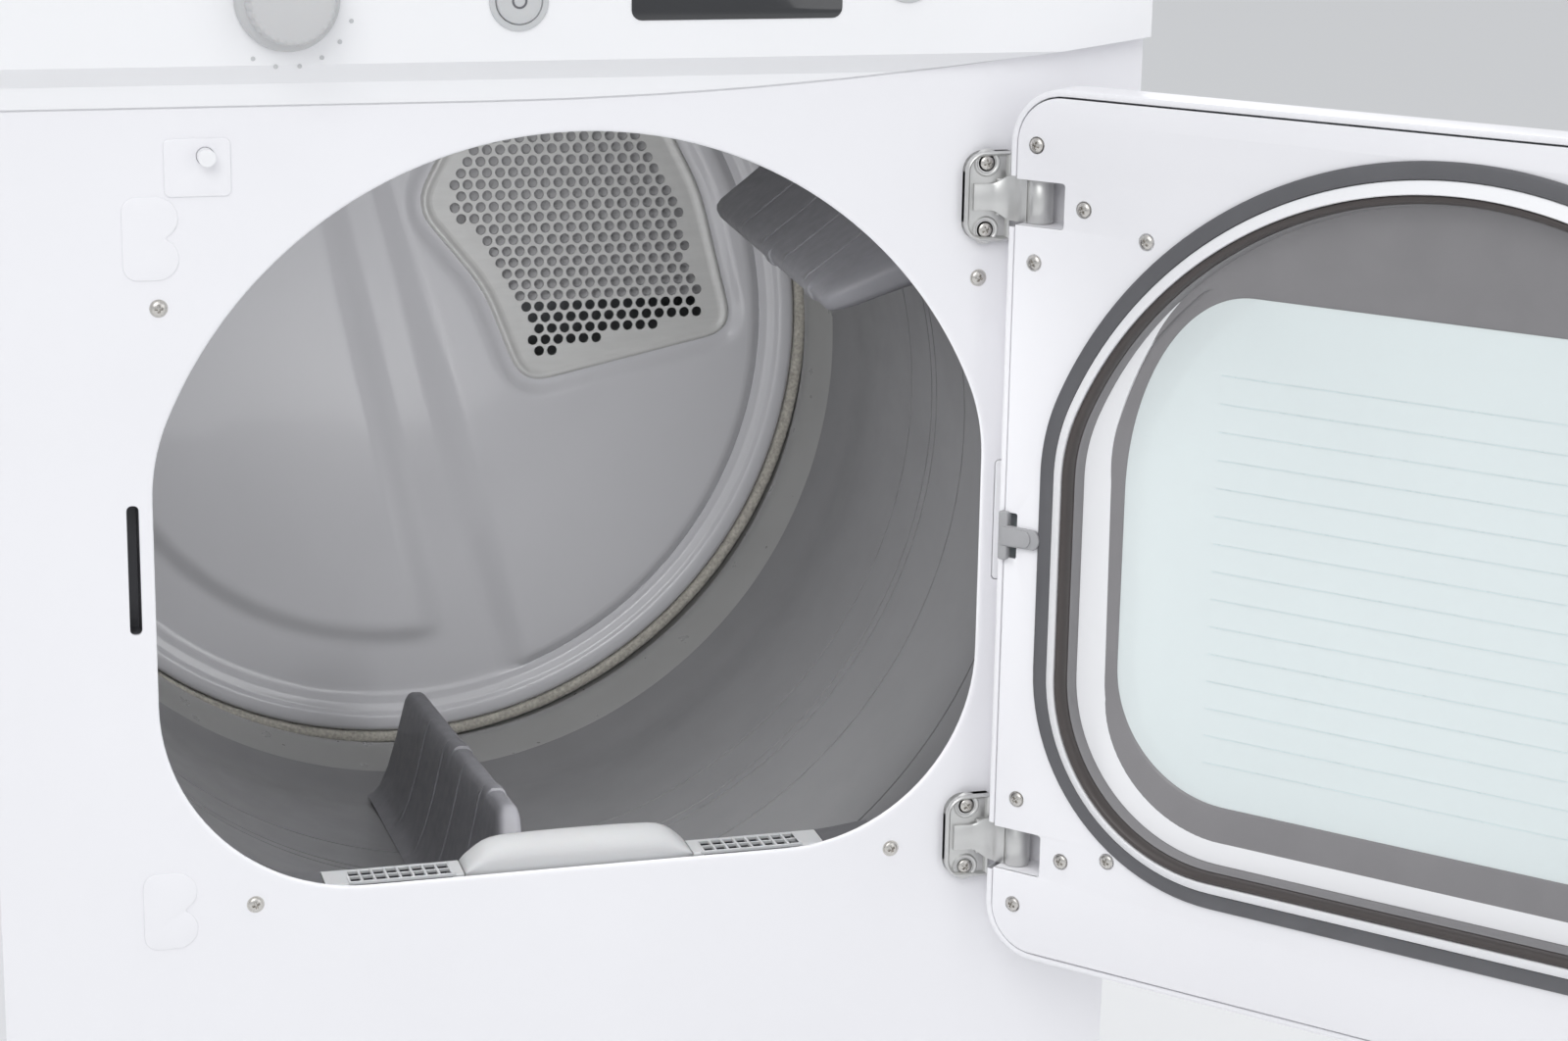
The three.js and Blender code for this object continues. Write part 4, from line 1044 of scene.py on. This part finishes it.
def door_outline(grow=0.0, steps=14):
    return rounded(-DOOR_HALF - grow, DOOR_HALF + grow, DOOR_BOTTOM - grow, DOOR_TOP + grow,
                   max(DOOR_CORNER + grow, 12), steps)


def notched_outline():
    """The inner panel's outline with a notch for each hinge."""
    outline = door_outline()
    quarter = len(outline) // 4
    notches = []
    for z in sorted(HINGES):
        low, high = z - POCKET_HALF, z + POCKET_HALF
        notches += [(DOOR_HALF, low), *arc(POCKET_X + 2, low + 2, 2, -math.pi / 2, -math.pi, 4),
                    *arc(POCKET_X + 2, high - 2, 2, math.pi, math.pi / 2, 4), (DOOR_HALF, high)]
    return outline[:quarter] + notches + outline[quarter:]


def add_door_panel():
    seats = [rounded(s * 275 - 3.8, s * 275 + 3.8, PLUG_Z - 14, PLUG_Z + 14, 1.2, 4)
             for s in (-1, 1)]
    face = plate(notched_outline(), [opening(4.5), *seats], DOOR_FACE - 2.5, DOOR_FACE, 0.5)
    walls = []
    for z in HINGES:
        low, high = z - POCKET_HALF, z + POCKET_HALF
        deep, wide = (POCKET_DEPTH, DOOR_FACE - 1), (POCKET_X - 1.5, DOOR_HALF)
        walls += [
            block((POCKET_X - 1.5, POCKET_X), deep, (low, high), 0.2),
            block(wide, deep, (low - 1.5, low), 0.2),
            block(wide, deep, (high, high + 1.5), 0.2),
            block(wide, (POCKET_DEPTH - 1.5, POCKET_DEPTH), (low - 1.5, high + 1.5), 0.2),
        ]
    piece = make("door_inner_skin", join(face, *walls), "white_enamel", "door",
                 stands_for=["door_inner_panel"])
    piece.data.set_sharp_from_angle(angle=math.radians(30))
    spots = ((266.7, 227), (233.8, 192.3), (192, 177.9), (265.8, 157.6), (264.6, -175.6),
             (232.2, -209.2), (200.5, -202.2), (264.7, -244.1))
    for side, label in ((1, "hinge_side"), (-1, "free_side")):
        for i, (x, z) in enumerate(spots):
            add_screw(f"door_screw_{label}_{i}", side * x, DOOR_FACE, z, "door",
                      facing=(0, 1, 0))


def radial(outline):
    """An outline resampled at equal angles about the window's middle, so that unlike outlines
    can be joined."""
    count, cx, cz = 420, 0, -9
    points = []
    for i in range(count):
        turn = 2 * math.pi * i / count
        dx, dz = math.cos(turn), math.sin(turn)
        best = 0.0
        for (ax, az), (bx, bz) in zip(outline, outline[1:] + outline[:1]):
            ex, ez = bx - ax, bz - az
            cross = dx * ez - dz * ex
            if abs(cross) < 1e-9:
                continue
            t = ((ax - cx) * ez - (az - cz) * ex) / cross
            u = ((ax - cx) * dz - (az - cz) * dx) / cross
            if t > best and -1e-6 <= u <= 1 + 1e-6:
                best = t
        points.append((cx + dx * best, cz + dz * best))
    return points


def cut_room(bm, x_from, y_from, z0, z1):
    """Takes away the faces inside a room open towards +X and +Y."""
    for spot, normal in (((0, 0, z0), (0, 0, 1)), ((0, 0, z1), (0, 0, 1)),
                         ((x_from, 0, 0), (1, 0, 0)), ((0, y_from, 0), (0, 1, 0))):
        everything = bm.verts[:] + bm.edges[:] + bm.faces[:]
        bmesh.ops.bisect_plane(bm, geom=everything, plane_co=spot, plane_no=normal, dist=1e-4)
    gone = []
    for face in bm.faces:
        middle = face.calc_center_median()
        if middle.x > x_from and middle.y > y_from and z0 < middle.z < z1:
            gone.append(face)
    bmesh.ops.delete(bm, geom=gone, context="FACES")


def add_door_shell():
    rim = [(0.9, -41), (0.9, -12.2), (1.3, -11.1), (2.2, -10.7), (3.8, -10.8), (4.7, -11.3),
           (5.0, -12.4), (5.0, -38), (4.4, -41), (2.8, -43.2), (0.0, -44.6), (-6, -46),
           (-16, -48.4), (-28, -51.2), (-40, -53.6), (-50, -55.0), (-58, -55.7)]
    rows = [at_depth(radial(door_outline(grow, 10)), y) for grow, y in rim]
    for grow, y in ((-33, -56), (-36, -56), (-38, -55.6), (-39, -54.4), (-43.8, -54.2),
                    (-44, -53.6), (-44, -49.5), (-36, -49.5)):
        rows.append(at_depth(radial(opening(grow)), y))
    bm = loft(rows)
    for z in HINGES:
        cut_room(bm, POCKET_X - 1.5, POCKET_DEPTH, z - POCKET_HALF - 1.5, z + POCKET_HALF + 1.5)
    make("door_shell_skin", bm, "white_enamel", "door", stands_for=["door_outer_shell"],
         angle=40)


PANE_HALF, PANE_FLAT, PANE_TOP, PANE_BOTTOM = 205.3, 128, 150.4, -156.5
PANE_SHOULDER, PANE_CORNER = 125, 75
BAND_TIP = 150  # how high the light band's two tips reach
LINE_PITCH = 16.75  # between the fine lines on the pane


def pane_outline(grow=0.0):
    """The see-through pane: flat on top, with long elliptical shoulders."""
    quarter = math.pi / 2
    across, tall = PANE_HALF - PANE_FLAT + grow, PANE_SHOULDER + grow
    low = arc(PANE_HALF - PANE_CORNER, PANE_BOTTOM + PANE_CORNER, PANE_CORNER + grow, -quarter, 0,
              24)
    shoulder = [
        (PANE_FLAT + across * math.cos(quarter * i / 32),
         PANE_TOP - PANE_SHOULDER + tall * math.sin(quarter * i / 32))
        for i in range(33)
    ]
    half = low + shoulder
    return half + [(-x, z) for x, z in reversed(half)]


def add_window():
    make("door_seal_ring", opening_ring([(6.2, -9.9), (6.2, -8.9), (5.6, -8.2), (4.4, -7.8),
                                         (-2.6, -7.1), (-3.5, -7.3), (-3.8, -8.0), (-3.8, -12.4),
                                         (4.3, -12.4), (4.3, -9.9)]),
         "dark_plastic", "door", stands_for=["door_seal"], look=SEAL_GREY)
    make("window_retaining_ring", opening_ring([(-4.2, -12), (-4.2, -6.8), (-4.5, -6.1),
                                                (-5.2, -5.4), (-10.2, -1.5), (-11.0, -1.1),
                                                (-11.5, -1.6), (-11.7, -2.6), (-11.7, -12)]),
         "white_plastic", "door", stands_for=["window_ring"])
    make("window_gasket_bead", opening_ring([(-12.0, -14), (-12.0, -3.4), (-12.4, -2.4),
                                             (-13.3, -1.8), (-14.4, -1.8), (-15.6, -2.6),
                                             (-16.6, -4.4), (-17.0, -7), (-17.2, -14)]),
         "black_rubber", "door", stands_for=["window_gasket"], look=GASKET_BROWN)
    rows = [at_depth(radial(opening(grow)), y) for grow, y in (
        (-16.6, -15), (-16.8, -9.4), (-17.4, -9.0), (-18.4, -10), (-19.6, -16), (-24, -17.4))]
    for grow, y in ((9, -20), (2, -21.4), (0.6, -22), (0, -23), (0, -27)):
        rows.append(at_depth(radial(pane_outline(grow)), y))
    rows.append(at_depth(radial(opening(-17.2)), -27))
    make("window_bezel_dish", loft(rows, close=True), "dark_plastic", "door",
         stands_for=["window_bezel"], look=BEZEL_GREY, angle=40)
    edge, deep = opening(-19.4), opening(-37)
    low_side = [i for i, (x, z) in enumerate(edge) if z <= BAND_TIP]
    order = [i for i in low_side if edge[i][0] < 0] + [i for i in low_side if edge[i][0] >= 0]
    rows = []
    for i in order:
        x, z = edge[i]
        fade = smooth_step(BAND_TIP - z, 0, 150) ** 0.6
        tx, tz = x + (deep[i][0] - x) * fade, z + (deep[i][1] - z) * fade
        mx, mz = x + (tx - x) * 0.7, z + (tz - z) * 0.7
        rows.append([(x, -16.4, z), (x + (tx - x) * 0.04, -15.9, z + (tz - z) * 0.04),
                     (mx, -16.0 - 2.2 * fade, mz), (tx, -16.4 - 3.6 * fade, tz),
                     (tx, -18.5 - 3.6 * fade, tz), (x, -20.5, z)])
    make("window_light_band", loft(rows, caps=True), "white_plastic", "door", angle=40)
    pane = plate(pane_outline(2), [], -24.4, -22.6, 0.2)
    make("window_pane", pane, "clear_glass", "door", stands_for=["window_glass"],
         look=PANE_TINT)
    lines = []
    for i in range(15):
        z = 103.5 - LINE_PITCH * i
        lines.append(block((-146, 146), (-22.7, -22.4), (z - 0.35, z + 0.35), 0.1))
    make("window_lines", join(*lines), "clear_glass", "door", look=LINE_TINT)


def add_strikes():
    z = PLUG_Z
    tongue = [*arc(261, z, 6.9, math.pi * 0.66, math.pi * 1.34, 12), (281, z - 6.6),
              (281, z + 6.6)]
    bar = block((276.2, 282.3), (-12.6, -6.8), (z - 15, z + 15), 0.9, 1.2)
    lever = plate(tongue, [], -9.8, -6.9, 0.7)
    rib = plate([*arc(266, z, 6.2, math.pi * 0.7, math.pi * 1.3, 10), (280, z - 5.9),
                 (280, z + 5.9)], [], -7.6, -6.0, 0.5)
    make("strike_seat_plug", join(lever, bar, rib), "light_plastic", "door",
         stands_for=["strike_blank"], look=PLUG_GREY)
    foot = block((-279, -255), (-9.9, -7.4), (PLUG_Z - 10, PLUG_Z + 10), 0.6, 2)
    hook = plate([(-4, -1.2), (13.6, -1.2), (14, 0), (13.6, 1.2), (6, 1.5), (2, 1.3), (-4, 1.2)],
                 [], -13.4, 1.4, 0.5)
    for vertex in hook.verts:
        x, y, z = vertex.co
        vertex.co = (-261 + z, x, PLUG_Z + y + 6)
    make("door_strike_hook", join(foot, hook), "light_plastic", "door",
         stands_for=["door_strike"])


# ------------------------------------------------------------ cabinet details away from the front


def add_outer_details():
    for side, label in ((-1, "left"), (1, "right")):
        reach = box_mm(f"{label}_side_panel")[1 if side > 0 else 0].x
        for i, (y, z) in enumerate(((30, -580), (670, -580), (670, 330), (670, -120))):
            add_screw(f"{label}_side_screw_{i}", reach - side * 0.2, y, z, facing=(side, 0, 0))
    spots = [(s * 325, z) for s in (-1, 1) for z in (-560, -300, -40, 220, 325)]
    spots += [(x, -560) for x in (-160, 0, 160)]
    for i, (x, z) in enumerate(spots):
        add_screw(f"rear_screw_{i}", x, REAR_FACE - 0.1, z, facing=(0, 1, 0))
    low, high = box_mm("terminal_cover")
    for i, x in enumerate((low.x + 9, high.x - 9)):
        add_screw(f"terminal_screw_{i}", x, high.y - 0.1, (low.z + high.z) / 2, facing=(0, 1, 0))


# ------------------------------------------------------------ making everything

add_camera()
add_studio()
add_front_panel()
add_latch_cover()
add_display()
add_cycle_knob()
add_buttons()
add_drum()
add_lifters()
add_bulkhead()
add_inlet()
add_felts()
add_filter_cover()
add_filter()
for hinge_label, hinge_height in zip(("upper", "lower"), HINGES):
    add_hinge(hinge_label, hinge_height)
add_door_panel()
add_door_shell()
add_window()
add_strikes()
add_outer_details()

NODE_LOOKS = {"window_bezel": BEZEL_GREY}
SOFTENED = {
    "top_cover": 4, "left_side_panel": 0.8, "right_side_panel": 0.8, "console_fascia": 2.5,
    "rear_panel": 0.8, "terminal_cover": 2.5, "base_pan": 0.8, "door_switch_plunger": 1.2,
    "drum_lamp": 1.5, "door_catch": 0.6,
}
for row in frame["record"]["subparts"]:
    node = frame["nodes"][row["node"]]
    node.data.materials.clear()
    node.data.materials.append(NODE_LOOKS.get(row["node"], FINISHES[row["material_slot"]]))
    node.data.shade_smooth()
    node.data.set_sharp_from_angle(angle=math.radians(32))
    if row["node"] in SOFTENED:
        soften(node, SOFTENED[row["node"]])
